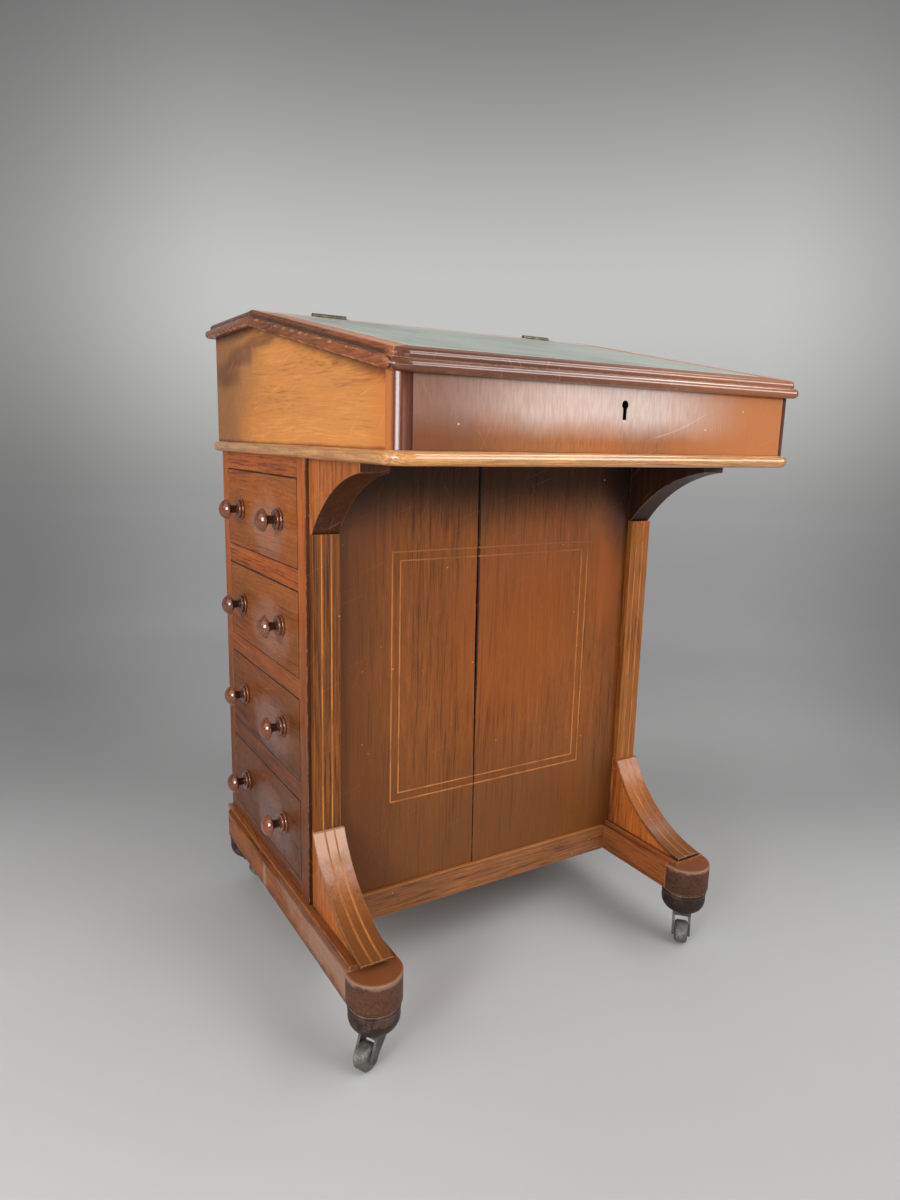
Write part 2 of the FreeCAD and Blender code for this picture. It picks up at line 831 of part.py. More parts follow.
def back_and_runners():
    inside = ("-body_inner", "body_inner")
    height = ("foot_top", "body_top")
    keep("back_panel", board("back_panel", inside, ("rear_back", "rear_face"), height))
    runners = []
    for number_up in range(4):
        seat = opening_low(number_up)
        for end, wall, sign in (("front", "front_back", ""), ("rear", "rear_back", "-")):
            owner = body(f"runner_{number_up}_{end}")
            guide = "opening_front" if end == "front" else "opening_rear"
            reach = f"{wall} {'+' if end == 'front' else '-'} runner_width"
            corners = [
                (wall, f"{seat} - runner_thick"),
                (reach, f"{seat} - runner_thick"),
                (reach, seat),
                (guide, seat),
                (guide, f"{seat} + guide_height"),
                (wall, f"{seat} + guide_height"),
            ]
            drawn = outline(sketch(owner, f"runner_{number_up}_{end}_section", "YZ_Plane"), corners)
            pad(owner, f"runner_{number_up}_{end}_pad", drawn, "2 * body_inner")
            runners.append(place(owner, x="-body_inner"))
    keep("drawer_runners", group("drawer_runners", *runners))


def pedestal():
    base()
    side_frames()
    dummy_fronts()
    knobs = []
    for number_up in range(4):
        knobs += knob_pair(f"dummy_knob_{number_up}", "right", number_up)
    keep("dummy_knobs", group("dummy_knobs", *knobs))
    back_and_runners()
    return front_panel()


# ---------------------------------------------------------------- brackets and pilasters


def side_profile(name, corners, low_x, width):
    """A piece with a side outline in Y and Z, as thick as width from low_x."""
    owner = body(name)
    drawn = outline(sketch(owner, name + "_outline", "YZ_Plane"), corners)
    pad(owner, name + "_pad", drawn, width)
    return place(owner, x=low_x)


def upper_bracket():
    corners = [
        ("front_face", "body_top"),
        ("upper_bracket_front", "body_top"),
        ("upper_bracket_front", "body_top - upper_bracket_nose", "upper_bracket_curve", -1),
        ("front_face - upper_bracket_tip", "upper_bracket_low"),
        ("front_face", "upper_bracket_low"),
    ]
    right = side_profile("upper_bracket", corners, "pilaster_inner", "pilaster_width")
    keep("upper_brackets", group("upper_brackets", right, mirror("upper_bracket_mirror", right)))


def pilaster_lines(name, face, low, high):
    """Two upright boxwood lines let into a pilaster."""
    lines = []
    for step, sign in (("inner", "-"), ("outer", "+")):
        middle = f"pilaster_middle {sign} line_spacing / 2"
        across = (f"{middle} - line_width / 2", f"{middle} + line_width / 2")
        lines.append(board(f"{name}_{step}", across, (face, f"{face} + line_depth"), (low, high)))
    return lines


def pilasters():
    height = ("lower_bracket_top", "upper_bracket_low")
    across = ("pilaster_inner", "pilaster_outer")
    blank = board("pilaster_blank", across, ("pilaster_face", "front_face"), height)
    lines = pilaster_lines("pilaster_line", "pilaster_face", *height)
    right = cut("pilaster", blank, *lines)
    keep("pilasters", group("pilasters", right, mirror("pilaster_mirror", right)))
    return lines + [mirror(f"pilaster_line_mirror_{step}", line) for step, line in enumerate(lines)]


def toe_hollow(name):
    """The room under the left toe, open because the foot has lost the end of its ledge there."""
    across = ("-pilaster_outer - facing_overhang - 1", "-pilaster_inner + facing_overhang + 1")
    along = ("lower_bracket_toe - facing_thick - 1", "lower_bracket_toe - ledge_toe + left_ledge_loss")
    return board(f"toe_hollow_{name}", across, along, ("ledge_top - 1", "ledge_top + toe_hollow"))


def lower_brackets():
    """Swept brackets on the feet, each faced with a curved strip that carries two lines."""
    waist = "front_face - lower_bracket_waist"
    toe = "lower_bracket_toe"
    toe_low = "ledge_top"
    bracket = [
        ("front_face", "ledge_top"),
        ("front_face", "lower_bracket_top"),
        (waist, "lower_bracket_top", "lower_bracket_curve", -1),
        (toe, toe_low),
    ]
    inner_curve = "lower_bracket_curve - facing_thick"
    facing = [
        (waist, "lower_bracket_top", "lower_bracket_curve", -1),
        (toe, toe_low),
        (f"{toe} - facing_thick", toe_low),
        (f"{toe} - facing_thick", f"{toe_low} + facing_toe_rise", inner_curve, 1),
        (f"{waist} - facing_thick", "lower_bracket_top"),
    ]
    line_curve = "lower_bracket_curve - facing_thick + line_depth"
    strip = [
        (f"{toe} - facing_thick", f"{toe_low} + facing_toe_rise - line_depth"),
        (f"{toe} - facing_thick", f"{toe_low} + facing_toe_rise", inner_curve, 1),
        (f"{waist} - facing_thick", "lower_bracket_top"),
        (f"{waist} - facing_thick + line_depth", "lower_bracket_top", line_curve, -1),
    ]
    right = side_profile("lower_bracket", bracket, "pilaster_inner", "pilaster_width")
    left = cut("lower_bracket_left", mirror("lower_bracket_mirror", right), toe_hollow("bracket"))
    keep("lower_brackets", group("lower_brackets", right, left))
    facing_low = "pilaster_inner - facing_overhang"
    facing_width = "pilaster_width + 2 * facing_overhang"
    blank = side_profile("bracket_facing", facing, facing_low, facing_width)
    fillet_at(blank, "bracket_facing_arrises", blank.Tip, "facing_arris", is_arc(number(inner_curve)))
    lines = []
    for step, sign in (("inner", "-"), ("outer", "+")):
        low_x = f"pilaster_middle {sign} line_spacing / 2 - line_width / 2"
        lines.append(side_profile(f"facing_line_{step}", strip, low_x, "line_width"))
    faced = cut("bracket_facing", blank, *lines)
    left = cut("bracket_facing_left", mirror("bracket_facing_mirror", faced), toe_hollow("facing"))
    keep("bracket_facings", group("bracket_facings", faced, left))
    return lines + [mirror(f"facing_line_mirror_{step}", line) for step, line in enumerate(lines)]


# ---------------------------------------------------------------- desk case


def above_slope():
    """All the room above the lid's underside, used to cut boards to the slope."""
    run = "1.2 * case_depth"
    room = doc.addObject("Part::Box", "above_slope")
    bind(room, Length="4 * case_half", Width=run, Height="case_rear_height * 2")
    turn(room, (1, 0, 0), "lid_slope")
    return place(
        room, "-2 * case_half", f"ridge_y - {run} * slope_cos", f"ridge_z - {run} * slope_sin"
    )


def keyhole(name, depth):
    """A round hole over a slot, through the front and into the lock."""
    face = "case_face - 1"
    long = f"{depth} + 1"
    hole = rod(name + "_eye", "keyhole_radius", long, "0", face, "keyhole_z", axis="y")
    half = "keyhole_slot / 2"
    low = "keyhole_z - keyhole_drop"
    slot = board(name + "_slot", (f"-{half}", half), (face, f"{face} + {long}"), (low, "keyhole_z"))
    return fuse(name, hole, slot)


def case_corner_post(side, sign, room):
    """A quarter-round post that joins the front to a side."""
    name = f"corner_post_{side}"
    low, high = ("-case_half", "-post_inner") if sign == "-" else ("post_inner", "case_half")
    block = board(name + "_block", (low, high), ("case_face", "post_back"), ("case_floor", "ridge_z"))
    centre = f"{sign}post_inner"
    radius = "case_corner_radius"
    turned = rod(name + "_round", radius, "case_rear_height", centre, "post_back", "case_floor")
    return cut(name, common(name + "_quarter", block, turned), room)


def rounded_plan(half, front, rear, radius, all_round=False):
    """The plan of a board with round front corners, or with all four round."""
    corners = [
        (f"-({half}) + {radius}", front),
        (f"{half} - ({radius})", front, radius, 1),
        (half, f"{front} + {radius}"),
    ]
    if all_round:
        corners += [
            (half, f"{rear} - ({radius})", radius, 1),
            (f"{half} - ({radius})", rear),
            (f"-({half}) + {radius}", rear, radius, 1),
            (f"-({half})", f"{rear} - ({radius})"),
        ]
    else:
        corners += [(half, rear), (f"-({half})", rear)]
    return corners + [(f"-({half})", f"{front} + {radius}", radius, 1)]


def slab(name, plan, thick):
    """A level board from z = 0 with a drawn plan."""
    owner = body(name)
    pad(owner, name + "_board", outline(sketch(owner, name + "_plan", "XY_Plane"), plan), thick)
    return owner


def case_floor_and_moulding():
    """The case's bottom board, and the half-round moulding fixed round its front and sides."""
    depth = ("case_face", "case_rear")
    plan = rounded_plan("case_half", *depth, "case_corner_radius")
    keep("case_bottom", place(slab("case_bottom", plan, "moulding_thick"), z="body_top"))
    core = place(slab("moulding_core", plan, "moulding_thick"), z="body_top")
    outer_half = "case_half + moulding_proud"
    radius = "case_corner_radius + moulding_proud"
    beyond = ("case_face - moulding_proud", "case_rear + moulding_thick")
    band = slab("moulding_band", rounded_plan(outer_half, *beyond, radius), "moulding_thick")
    for step, level in (("low", 0), ("high", number("moulding_thick"))):
        fillet_at(band, f"moulding_{step}", band.Tip, "moulding_thick / 2 - 0.05", lies_at(level))
    place(band, z="body_top")
    across = (f"-({outer_half}) - 1", f"{outer_half} + 1")
    behind = ("case_rear", "case_rear + moulding_thick + 1")
    rear_end = board("moulding_end", across, behind, ("body_top", "case_floor"))
    keep("case_moulding", cut("case_moulding", band, core, rear_end))


def case():
    case_floor_and_moulding()
    room = above_slope()
    corners = [
        ("post_back", "case_floor"),
        ("case_rear", "case_floor"),
        ("case_rear", "ridge_z"),
        ("ridge_y", "ridge_z"),
        ("post_back", "ridge_z - (ridge_y - post_back) * slope_rise"),
    ]
    right = side_profile("case_side", corners, "case_inner", "case_board")
    keep("case_side_right", right)
    keep("case_side_left", mirror("case_side_mirror", right))
    posts = [case_corner_post("left", "-", room), case_corner_post("right", "", room)]
    keep("case_corner_posts", group("case_corner_posts", *posts))
    across = ("-post_inner", "post_inner")
    full = ("case_floor", "ridge_z")
    blank = board("case_front_blank", across, ("case_face", "case_face_inner"), full)
    keep("case_front", cut("case_front", blank, room, keyhole("front_keyhole", "case_board + 1")))
    inside = ("-case_inner", "case_inner")
    keep("case_back", board("case_back", inside, ("case_rear_inner", "case_rear"), full))


def nest():
    """A shelf and a divider under the fixed top, which house two small drawers."""
    depth = ("nest_front", "case_rear_inner")
    level = ("nest_top", "nest_top + nest_shelf_thick")
    shelf = board("nest_shelf", ("-case_inner", "case_inner"), depth, level)
    half = "nest_divider / 2"
    divider = board("nest_divider", (f"-{half}", half), depth, ("case_floor", "nest_top"))
    keep("drawer_nest", group("drawer_nest", shelf, divider))


def small_drawer(side, low, high):
    name = f"small_drawer_{side}"
    front = "nest_front + small_drawer_gap"
    rear = "case_rear_inner - small_drawer_gap * 2"
    floor = "case_floor + drawer_seat_gap"
    top = "nest_top - small_drawer_gap"
    back_face = f"{front} + small_drawer_front"
    tray = (f"{low} + small_drawer_side", f"{high} - small_drawer_side")
    tray_top = f"{top} - small_drawer_side"
    pieces = [
        board(name + "_front", (low, high), (front, back_face), (floor, top)),
        board(name + "_side_left", (low, tray[0]), (back_face, rear), (floor, tray_top)),
        board(name + "_side_right", (tray[1], high), (back_face, rear), (floor, tray_top)),
        board(name + "_back", tray, (f"{rear} - small_drawer_side", rear), (floor, tray_top)),
        board(
            name + "_bottom",
            tray,
            (back_face, f"{rear} - small_drawer_side"),
            (floor, f"{floor} + small_drawer_bottom"),
        ),
    ]
    owner = body(name + "_knob")
    corners = [
        ("0", "0"),
        ("small_knob_foot", "0"),
        ("small_knob_neck", "-small_knob_neck_length"),
        ("small_knob_radius", "-small_knob_rim", "small_knob_curve", -1),
        ("0", "-small_knob_length"),
    ]
    drawn = outline(sketch(owner, name + "_knob_profile", "XY_Plane"), corners)
    revolve(owner, name + "_knob_turned", drawn, "V_Axis")
    place(owner, f"(({low}) + ({high})) / 2", front, f"(({floor}) + ({top})) / 2")
    keep(name, group(name, *pieces, owner))


# ---------------------------------------------------------------- lid and fixed top


def moulded_slab(name, front, rear, radius, all_round=False):
    """A slab with a half-round bead below and an ovolo above, round its edges."""
    owner = slab(name, rounded_plan("lid_half", front, rear, radius, all_round), "lid_bead")
    for step, level in (("low", 0), ("high", number("lid_bead"))):
        fillet_at(owner, f"{name}_bead_{step}", owner.Tip, "lid_bead / 2 - 0.05", lies_at(level))
    plan = rounded_plan(
        "lid_half - lid_ovolo_setback",
        f"{front} + lid_ovolo_setback",
        f"{rear} - lid_ovolo_setback",
        f"({radius} - lid_ovolo_setback)",
        all_round,
    )
    drawn = outline(sketch(owner, name + "_upper_plan", "XY_Plane", "lid_bead"), plan)
    pad(owner, name + "_upper", drawn, "lid_ovolo")
    top = lies_at(number("lid_thick"))
    fillet_at(owner, name + "_ovolo", owner.Tip, "lid_ovolo_round", top)
    return owner


def fixed_top():
    """The level board behind the lid, let in for the fixed hinge leaves."""
    blank = moulded_slab(
        "fixed_top_blank", "ridge_y - lid_overrun", "top_rear", "top_corner_radius", all_round=True
    )
    place(blank, z="ridge_z")
    height = ("ridge_z - 1", "ridge_z + lid_thick + 1")
    ahead = ("ridge_y - lid_overrun - 1", "ridge_y")
    waste = board("fixed_top_waste", ("-lid_half - 1", "lid_half + 1"), ahead, height)
    keep("fixed_top", cut("fixed_top", blank, waste, *hinge_room("fixed")))


def lid():
    """The sloping lid. Its own Y runs up the slope and is 0 at the ridge."""
    blank = moulded_slab("lid_blank", "-lid_run", "lid_overrun", "lid_corner_radius")
    place(turn(blank, (1, 0, 0), "lid_slope"), y="ridge_y", z="ridge_z + lid_seat_gap")
    height = ("ridge_z - 5", "ridge_z + 2 * lid_thick + 5")
    behind = ("ridge_y - lid_gap", "ridge_y + 2 * lid_thick")
    waste = board("lid_waste", ("-lid_half - 1", "lid_half + 1"), behind, height)
    bed = on_slope("leather_bed", *leather_bounds())
    mortise = on_slope("strike_mortise", *bolt_room(), ("strike_thick", "strike_pocket"))
    seat = on_slope("strike_seat", *strike_bounds())
    keep("lid", cut("lid", blank, waste, bed, seat, mortise, *hinge_room("lid")))
    keep("lid_leather", on_slope("lid_leather", *leather_bounds()))


def on_slope(name, x, y, z):
    """A board laid out on the lid's own axes, up the slope from the ridge."""
    box = doc.addObject("Part::Box", name)
    for side, (low, high) in zip(("Length", "Width", "Height"), (x, y, z)):
        box.setExpression(side, formula(f"({high}) - ({low})"))
    turn(box, (1, 0, 0), "lid_slope")
    return place(
        box,
        x[0],
        f"ridge_y + ({y[0]}) * slope_cos - ({z[0]}) * slope_sin",
        f"ridge_z + lid_seat_gap + ({y[0]}) * slope_sin + ({z[0]}) * slope_cos",
    )


def leather_bounds():
    half = "lid_half - leather_margin"
    along = ("leather_margin - lid_run", "-leather_rear_margin")
    return (f"-({half})", half), along, ("lid_thick - leather_thick", "lid_thick")


def bolt_room():
    half = "bolt_half + strike_slot_play"
    deep = "bolt_thick / 2 + strike_slot_play"
    return (f"-({half})", half), (f"strike_middle - ({deep})", f"strike_middle + {deep}")


def strike_bounds():
    along = ("strike_middle - strike_width / 2", "strike_middle + strike_width / 2")
    return ("-strike_half", "strike_half"), along, ("0", "strike_thick")


# ---------------------------------------------------------------- hinges and lock


def hinge_room(side):
    """The sinkings for both hinges in one board: a groove for the knuckle and a bed for the leaf."""
    tools = []
    for hand, sign in (("left", "-"), ("right", "")):
        middle = f"{sign}hinge_offset"
        low = f"{middle} - hinge_length / 2"
        high = f"{middle} + hinge_length / 2"
        groove = rod(
            f"hinge_groove_{side}_{hand}",
            "knuckle_radius + hinge_groove_gap",
            "hinge_length + 2 * knuckle_gap",
            f"{low} - knuckle_gap",
            "hinge_axis_y",
            "hinge_axis_z",
            axis="x",
        )
        tools += [groove, hinge_leaf(f"hinge_bed_{side}_{hand}", side, (low, high))]
    return tools


def hinge_leaf(name, side, across):
    """A flat leaf let in flush with the top of its board, from the knuckle outwards."""
    if side == "fixed":
        along = ("hinge_axis_y", "hinge_axis_y + hinge_leaf")
        height = ("ridge_z + lid_thick - hinge_leaf_thick", "ridge_z + lid_thick")
        return board(name, across, along, height)
    along = ("-hinge_leaf", "hinge_tongue_end")
    return on_slope(name, across, along, ("hinge_leaf_low", "lid_thick"))


def hinges():
    """Two butt hinges. The fixed leaf has the outer knuckles and the pin, the lid leaf the middle."""
    fixed = []
    moving = []
    third = "hinge_length / 3"
    for hand, sign in (("left", "-"), ("right", "")):
        low = f"{sign}hinge_offset - hinge_length / 2"
        high = f"{sign}hinge_offset + hinge_length / 2"
        axis = ("hinge_axis_y", "hinge_axis_z")
        pin = rod(f"hinge_pin_{hand}", "hinge_pin_radius", "hinge_length", low, *axis, axis="x")
        barrel = rod(f"hinge_barrel_{hand}", "knuckle_radius", "hinge_length", low, *axis, axis="x")
        room = "knuckle_radius + knuckle_gap"
        gap = rod(f"hinge_gap_{hand}", room, third, f"{low} + {third}", *axis, axis="x")
        leaf = hinge_leaf(f"hinge_leaf_fixed_{hand}", "fixed", (low, high))
        plate = fuse(f"hinge_plate_fixed_{hand}", barrel, leaf)
        outer = cut(f"hinge_fixed_{hand}", plate, gap, pin)
        fixed += [outer, pin]
        bore = rod(
            f"hinge_bore_{hand}", "hinge_pin_radius + hinge_pin_play", "hinge_length", low, *axis, axis="x"
        )
        inner_span = (f"{low} + {third} + knuckle_gap", f"{high} - {third} - knuckle_gap")
        knuckle = rod(
            f"hinge_knuckle_{hand}",
            "knuckle_radius",
            f"({inner_span[1]}) - ({inner_span[0]})",
            inner_span[0],
            *axis,
            axis="x",
        )
        tongue = hinge_leaf(f"hinge_tongue_{hand}", "lid", inner_span)
        wide = hinge_leaf(f"hinge_leaf_lid_{hand}", "lid", (low, high))
        clear = rod(f"hinge_clear_{hand}", room, "hinge_length", low, *axis, axis="x")
        spread = cut(f"hinge_wide_{hand}", wide, clear)
        plate = fuse(f"hinge_plate_lid_{hand}", spread, tongue, knuckle)
        moving.append(cut(f"hinge_lid_{hand}", plate, bore))
    keep("hinge_fixed_leaves", group("hinge_fixed_leaves", *fixed))
    keep("hinge_lid_leaves", group("hinge_lid_leaves", *moving))


def lock():
    """A till lock behind the keyhole, its bolt, and the strike plate under the lid."""
    across = ("-lock_half", "lock_half")
    deep = ("case_face_inner", "lock_back")
    case_block = board("lock_block", across, deep, ("lock_top - lock_height", "lock_top"))
    bolt_low = "lock_top - bolt_length"
    half = "bolt_thick / 2"
    bolt = board(
        "lock_bolt",
        ("-bolt_half", "bolt_half"),
        (f"bolt_y - {half}", f"bolt_y + {half}"),
        (bolt_low, "lock_top"),
    )
    channel = board(
        "bolt_channel",
        ("-bolt_half - bolt_play", "bolt_half + bolt_play"),
        (f"bolt_y - {half} - bolt_play", f"bolt_y + {half} + bolt_play"),
        (f"{bolt_low} - bolt_play", "lock_top + 1"),
    )
    keep("lock_body", cut("lock_body", case_block, channel, keyhole("lock_keyhole", "case_board + 3")))
    keep("lock_bolt", bolt)
    plate = on_slope("strike_plate", *strike_bounds())
    slot = on_slope("strike_slot", *bolt_room(), ("-1", "strike_thick + 1"))
    keep("lock_strike", cut("lock_strike", plate, slot))


# ---------------------------------------------------------------- drawers


def drawer(number_down):
    """A working drawer: its front, its box of four boards, and two knobs."""
    number_up = 4 - number_down
    name = f"drawer_{number_down}"
    opening = opening_low(number_up)
    low = f"{opening} + drawer_seat_gap"
    top = f"{opening} + opening_height - drawer_gap"
    along = ("opening_front + drawer_gap", "opening_rear - drawer_gap")
    back = "-body_half + drawer_front_thick"
    front = board(name + "_front", ("-body_half", back), along, (low, top))
    keep(name + "_front", front)
    box_top = f"{top} - drawer_side_drop"
    far = "drawer_side_end"
    inner = (f"{along[0]} + drawer_side_thick", f"{along[1]} - drawer_side_thick")
    bottom = (f"{low} + drawer_bottom_rise", f"{low} + drawer_bottom_rise + drawer_bottom_thick")
    boards = [
        board(name + "_side_front", (back, far), (along[0], inner[0]), (low, box_top)),
        board(name + "_side_rear", (back, far), (inner[1], along[1]), (low, box_top)),
        board(name + "_back", (f"{far} - drawer_side_thick", far), inner, (bottom[1], box_top)),
        board(name + "_bottom", (back, far), inner, bottom),
    ]
    keep(name + "_box", group(name + "_box", *boards))
    keep(name + "_knobs", group(name + "_knobs", *knob_pair(name + "_knob", "left", number_up)))


def export():
    doc.recompute()
    for thing in doc.Objects:
        if "Invalid" in thing.State or "Error" in thing.State:
            raise RuntimeError(f"{thing.Name} failed: {thing.State}")
    os.makedirs("parts", exist_ok=True)
    for name, piece in nodes.items():
        shape = piece.Shape
        if shape.isNull() or not shape.isValid() or not shape.Solids:
            raise RuntimeError(f"{name} has no valid shape")
        shape.exportStep(f"parts/{name}.step")
        print(name, len(shape.Solids), round(shape.Volume))


fill_sheets()
feet_and_castors()
boxwood = pedestal()
upper_bracket()
boxwood += pilasters()
boxwood += lower_brackets()
keep("boxwood_lines", group("boxwood_lines", *boxwood))
case()
nest()
small_drawer("left", "-case_inner + small_drawer_gap", "-nest_divider / 2 - small_drawer_gap")
small_drawer("right", "nest_divider / 2 + small_drawer_gap", "case_inner - small_drawer_gap")
fixed_top()
lid()
hinges()
lock()
for number_down in range(1, 5):
    drawer(number_down)
export()
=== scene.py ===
"""An old mahogany davenport desk: the finishes of its pieces, its hinge screws, and a plain studio."""

import math

import bpy
from bpy.props import FloatProperty, FloatVectorProperty, PointerProperty
from mathutils import Matrix, Vector


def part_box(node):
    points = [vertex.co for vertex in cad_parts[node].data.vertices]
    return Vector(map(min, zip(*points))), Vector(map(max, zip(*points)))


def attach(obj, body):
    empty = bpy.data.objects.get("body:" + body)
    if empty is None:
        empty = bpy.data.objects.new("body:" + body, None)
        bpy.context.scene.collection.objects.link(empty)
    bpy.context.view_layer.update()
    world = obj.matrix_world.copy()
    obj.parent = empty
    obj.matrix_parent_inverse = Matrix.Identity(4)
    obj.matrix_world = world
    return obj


bl_info = {
    "name": "Davenport desk",
    "version": (1, 0, 0),
    "blender": (4, 5, 0),
    "location": "View3D > Sidebar > Desk",
    "description": "Finishes and hinge screws for an old mahogany davenport desk, and a plain studio",
    "category": "Object",
}

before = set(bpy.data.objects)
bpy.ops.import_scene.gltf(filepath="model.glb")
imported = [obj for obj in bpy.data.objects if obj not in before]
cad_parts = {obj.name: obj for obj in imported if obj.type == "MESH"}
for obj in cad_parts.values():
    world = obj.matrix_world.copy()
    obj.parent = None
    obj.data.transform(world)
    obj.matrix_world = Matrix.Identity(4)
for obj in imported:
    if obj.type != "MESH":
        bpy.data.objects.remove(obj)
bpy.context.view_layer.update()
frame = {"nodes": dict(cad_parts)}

# ---------------------------------------------------------------- places on the desk, in metres

LID_LOW, LID_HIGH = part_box("lid")
LEATHER_LOW, LEATHER_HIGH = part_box("lid_leather")
CASE_LOW, CASE_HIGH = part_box("case_front")
SIDE_LOW, SIDE_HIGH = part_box("case_side_left")
POSTS_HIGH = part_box("case_corner_posts")[1]
PANEL_LOW, PANEL_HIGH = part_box("front_board_right")
LEFT_BOARD_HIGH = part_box("front_board_left")[1]
PILASTERS_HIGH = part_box("pilasters")[1]
FACINGS_LOW, FACINGS_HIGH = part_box("bracket_facings")
FOOT_LOW, FOOT_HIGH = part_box("sledge_foot_left")
TOP_LOW, TOP_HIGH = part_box("fixed_top")
DRAWER_LOW, DRAWER_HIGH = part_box("drawer_1_front")
SECOND_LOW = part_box("drawer_2_front")[0]
LID_LEAF_LOW, LID_LEAF_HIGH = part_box("hinge_lid_leaves")
FIXED_LEAF_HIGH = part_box("hinge_fixed_leaves")[1]
LOCK_LOW, LOCK_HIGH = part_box("lock_body")
RAIL_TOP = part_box("base_rails")[1].z
KNOB_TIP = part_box("drawer_1_knobs")[0].x
DRAWER_PITCH = DRAWER_LOW.z - SECOND_LOW.z
DRAWER_FOOT = DRAWER_LOW.z - 4 * DRAWER_PITCH
DRAWER_MIDDLE = (DRAWER_LOW.y + DRAWER_HIGH.y) / 2

KNOB_NECK = 0.0185  # from the tip of a knob to its neck
SCREW_SHIFT = 0.0015  # from the middle of a hinge leaf to its row of screws, away from the knuckles
SLOT_TURN = 1.1  # the turn of each screw's slot from the one before, in radians
BEAD_MIDDLE = 0.0026  # from the lid's edge to the middle of its bead
BEAD_STEP = 0.0064  # and to the step behind the bead

# Brown stains on each case side: how far back, how high, and how far up each one reaches.
STAINS = ((0.22, 0.765, 0.02), (0.15, 0.785, 0.014), (0.08, 0.797, 0.009))

# Dents in the case front: across, up, and the radius.
DENTS = ((0.179, 0.7246, 0.001), (0.12, 0.703, 0.0012), (0.0, 0.7085, 0.0016), (-0.2, 0.7, 0.001))

# A curved scratch on the case front is part of this circle.
ARC_CENTRE = (-0.02, 0.0, 0.99)
ARC_RADIUS = 0.304


def on_screen(red, green, blue):
    """A colour as it looks on a screen, 0 to 255 a channel, as the linear colour that nodes take."""
    parts = (red, green, blue)
    return [((part / 255 + 0.055) / 1.055) ** 2.4 if part > 10 else part / 3294 for part in parts]


def colour(name, description, red, green, blue):
    return FloatVectorProperty(
        name=name,
        description=description,
        subtype="COLOR",
        size=3,
        min=0,
        max=1,
        default=on_screen(red, green, blue),
    )


def length(name, description, metres):
    return FloatProperty(name=name, description=description, unit="LENGTH", min=0, default=metres)


def share(name, description, amount):
    return FloatProperty(name=name, description=description, subtype="FACTOR", min=0, max=1, default=amount)


def watts(name, description, power):
    return FloatProperty(name=name, description=description, subtype="POWER", min=0, default=power)


class DeskTimbers(bpy.types.PropertyGroup):
    case_side: colour("Case sides", "Honey coloured boards at the sides of the case", 205, 135, 68)
    case_front: colour("Case front", "The board that carries the lock", 149, 89, 41)
    corner_post: colour("Corner posts", "Quarter-round posts of the case", 91, 39, 8)
    moulding: colour("Moulding", "The half-round moulding under the case", 182, 128, 76)
    lid_side: colour("Lid sides", "The moulded edges of the lid and of the fixed top", 192, 116, 66)
    lid_front: colour("Lid front", "The dark front edge of the lid", 92, 48, 26)
    panel: colour("Front panel", "The two upright boards behind the knee space", 134, 75, 25)
    drawer: colour("Drawer fronts", "The fronts of the drawers", 151, 84, 32)
    frame: colour("Side frames", "Stiles and rails round the drawers", 162, 86, 34)
    pilaster: colour("Pilasters", "Pilasters on the front", 144, 85, 32)
    bracket: colour("Brackets", "The brackets over and under the pilasters", 168, 95, 43)
    facing: colour("Bracket facings", "The curved strips down the lower brackets", 139, 78, 29)
    foot: colour("Feet", "The two sledge feet and their ledges", 138, 80, 41)
    nose: colour("Foot noses", "The round front blocks of the feet", 79, 49, 32)
    base_rail: colour("Base rails", "The rails between the feet", 134, 84, 47)
    bun: colour("Buns", "The turned buns under the feet", 42, 29, 25)
    knob: colour("Knobs", "The turned knobs of the drawers", 116, 64, 34)
    boxwood: colour("Boxwood lines", "The pale lines let into the front", 196, 120, 52)
    inside: colour("Inside wood", "Plain wood of drawer boxes and runners", 170, 130, 86)


class DeskWear(bpy.types.PropertyGroup):
    arris: length("Softened arris", "How far the corners of the boards are rubbed round", 0.0014)
    rubbed: colour("Rubbed edges", "An edge where the polish is gone", 196, 142, 100)
    bruised: colour("Bruises", "The pale wood of chips and dents", 226, 198, 170)
    stain: colour("Stain", "Dark marks in the polish", 92, 50, 34)
    # Also the dark of the panel's split and of the moulded edges' step; elsewhere this colour is painted
    # shade: the stiles' recessed strips, round the drawers, inside the split and the keyhole, the panel's top
    # corner, the top of the case front and the slot under the facings' toes.
    grime: colour("Grime", "Old dark wax in the corners", 36, 22, 16)
    # Mostly painted sheen and highlight: the milky veil on the case front, which is partly a tired polish, a
    # faint spot on each drawer front, and the bright strip along the lid's rear margin.
    bloom: colour("Bloom", "The milky look of a tired polish", 226, 208, 200)
    scuffs: colour("Scuffs", "Greyed wood where shoes have rubbed", 158, 128, 108)
    edge_wear: share("Edge wear", "How much of each edge is rubbed pale", 0.5)
    scratches: share("Scratches", "How strongly the fine scratches show", 0.4)


class DeskTrim(bpy.types.PropertyGroup):
    # Partly a painted reflection: this pale grey-green stands in for the grey sheen of the backdrop that the
    # leather shows at a grazing view.
    leather: colour("Leather", "The leather let into the lid", 170, 177, 169)
    tooling: colour("Tooled line", "The line pressed round the leather", 190, 196, 166)
    tooling_inset: length("Line inset", "From the edge of the leather to the tooled line", 0.052)
    tooling_width: length("Line width", "The width of the tooled line", 0.006)
    iron: colour("Castor iron", "The cast iron of the castors", 74, 71, 67)
    bright_iron: colour("Rubbed iron", "Cast iron where it is rubbed bright", 150, 148, 142)
    brass: colour("Hinge brass", "The aged brass of the hinges", 100, 92, 78)
    steel: colour("Lock steel", "The aged steel of the lock", 118, 112, 104)
    screw_radius: length("Screw head radius", "The radius of a hinge screw's head", 0.0022)
    screw_rise: length("Screw head rise", "How far a screw head stands out of its leaf", 0.0004)
    screw_slot: length("Screw slot", "The width of the slot in a screw head", 0.0006)
    screw_pitch: length("Screw spacing", "From one hinge screw to the next", 0.016)


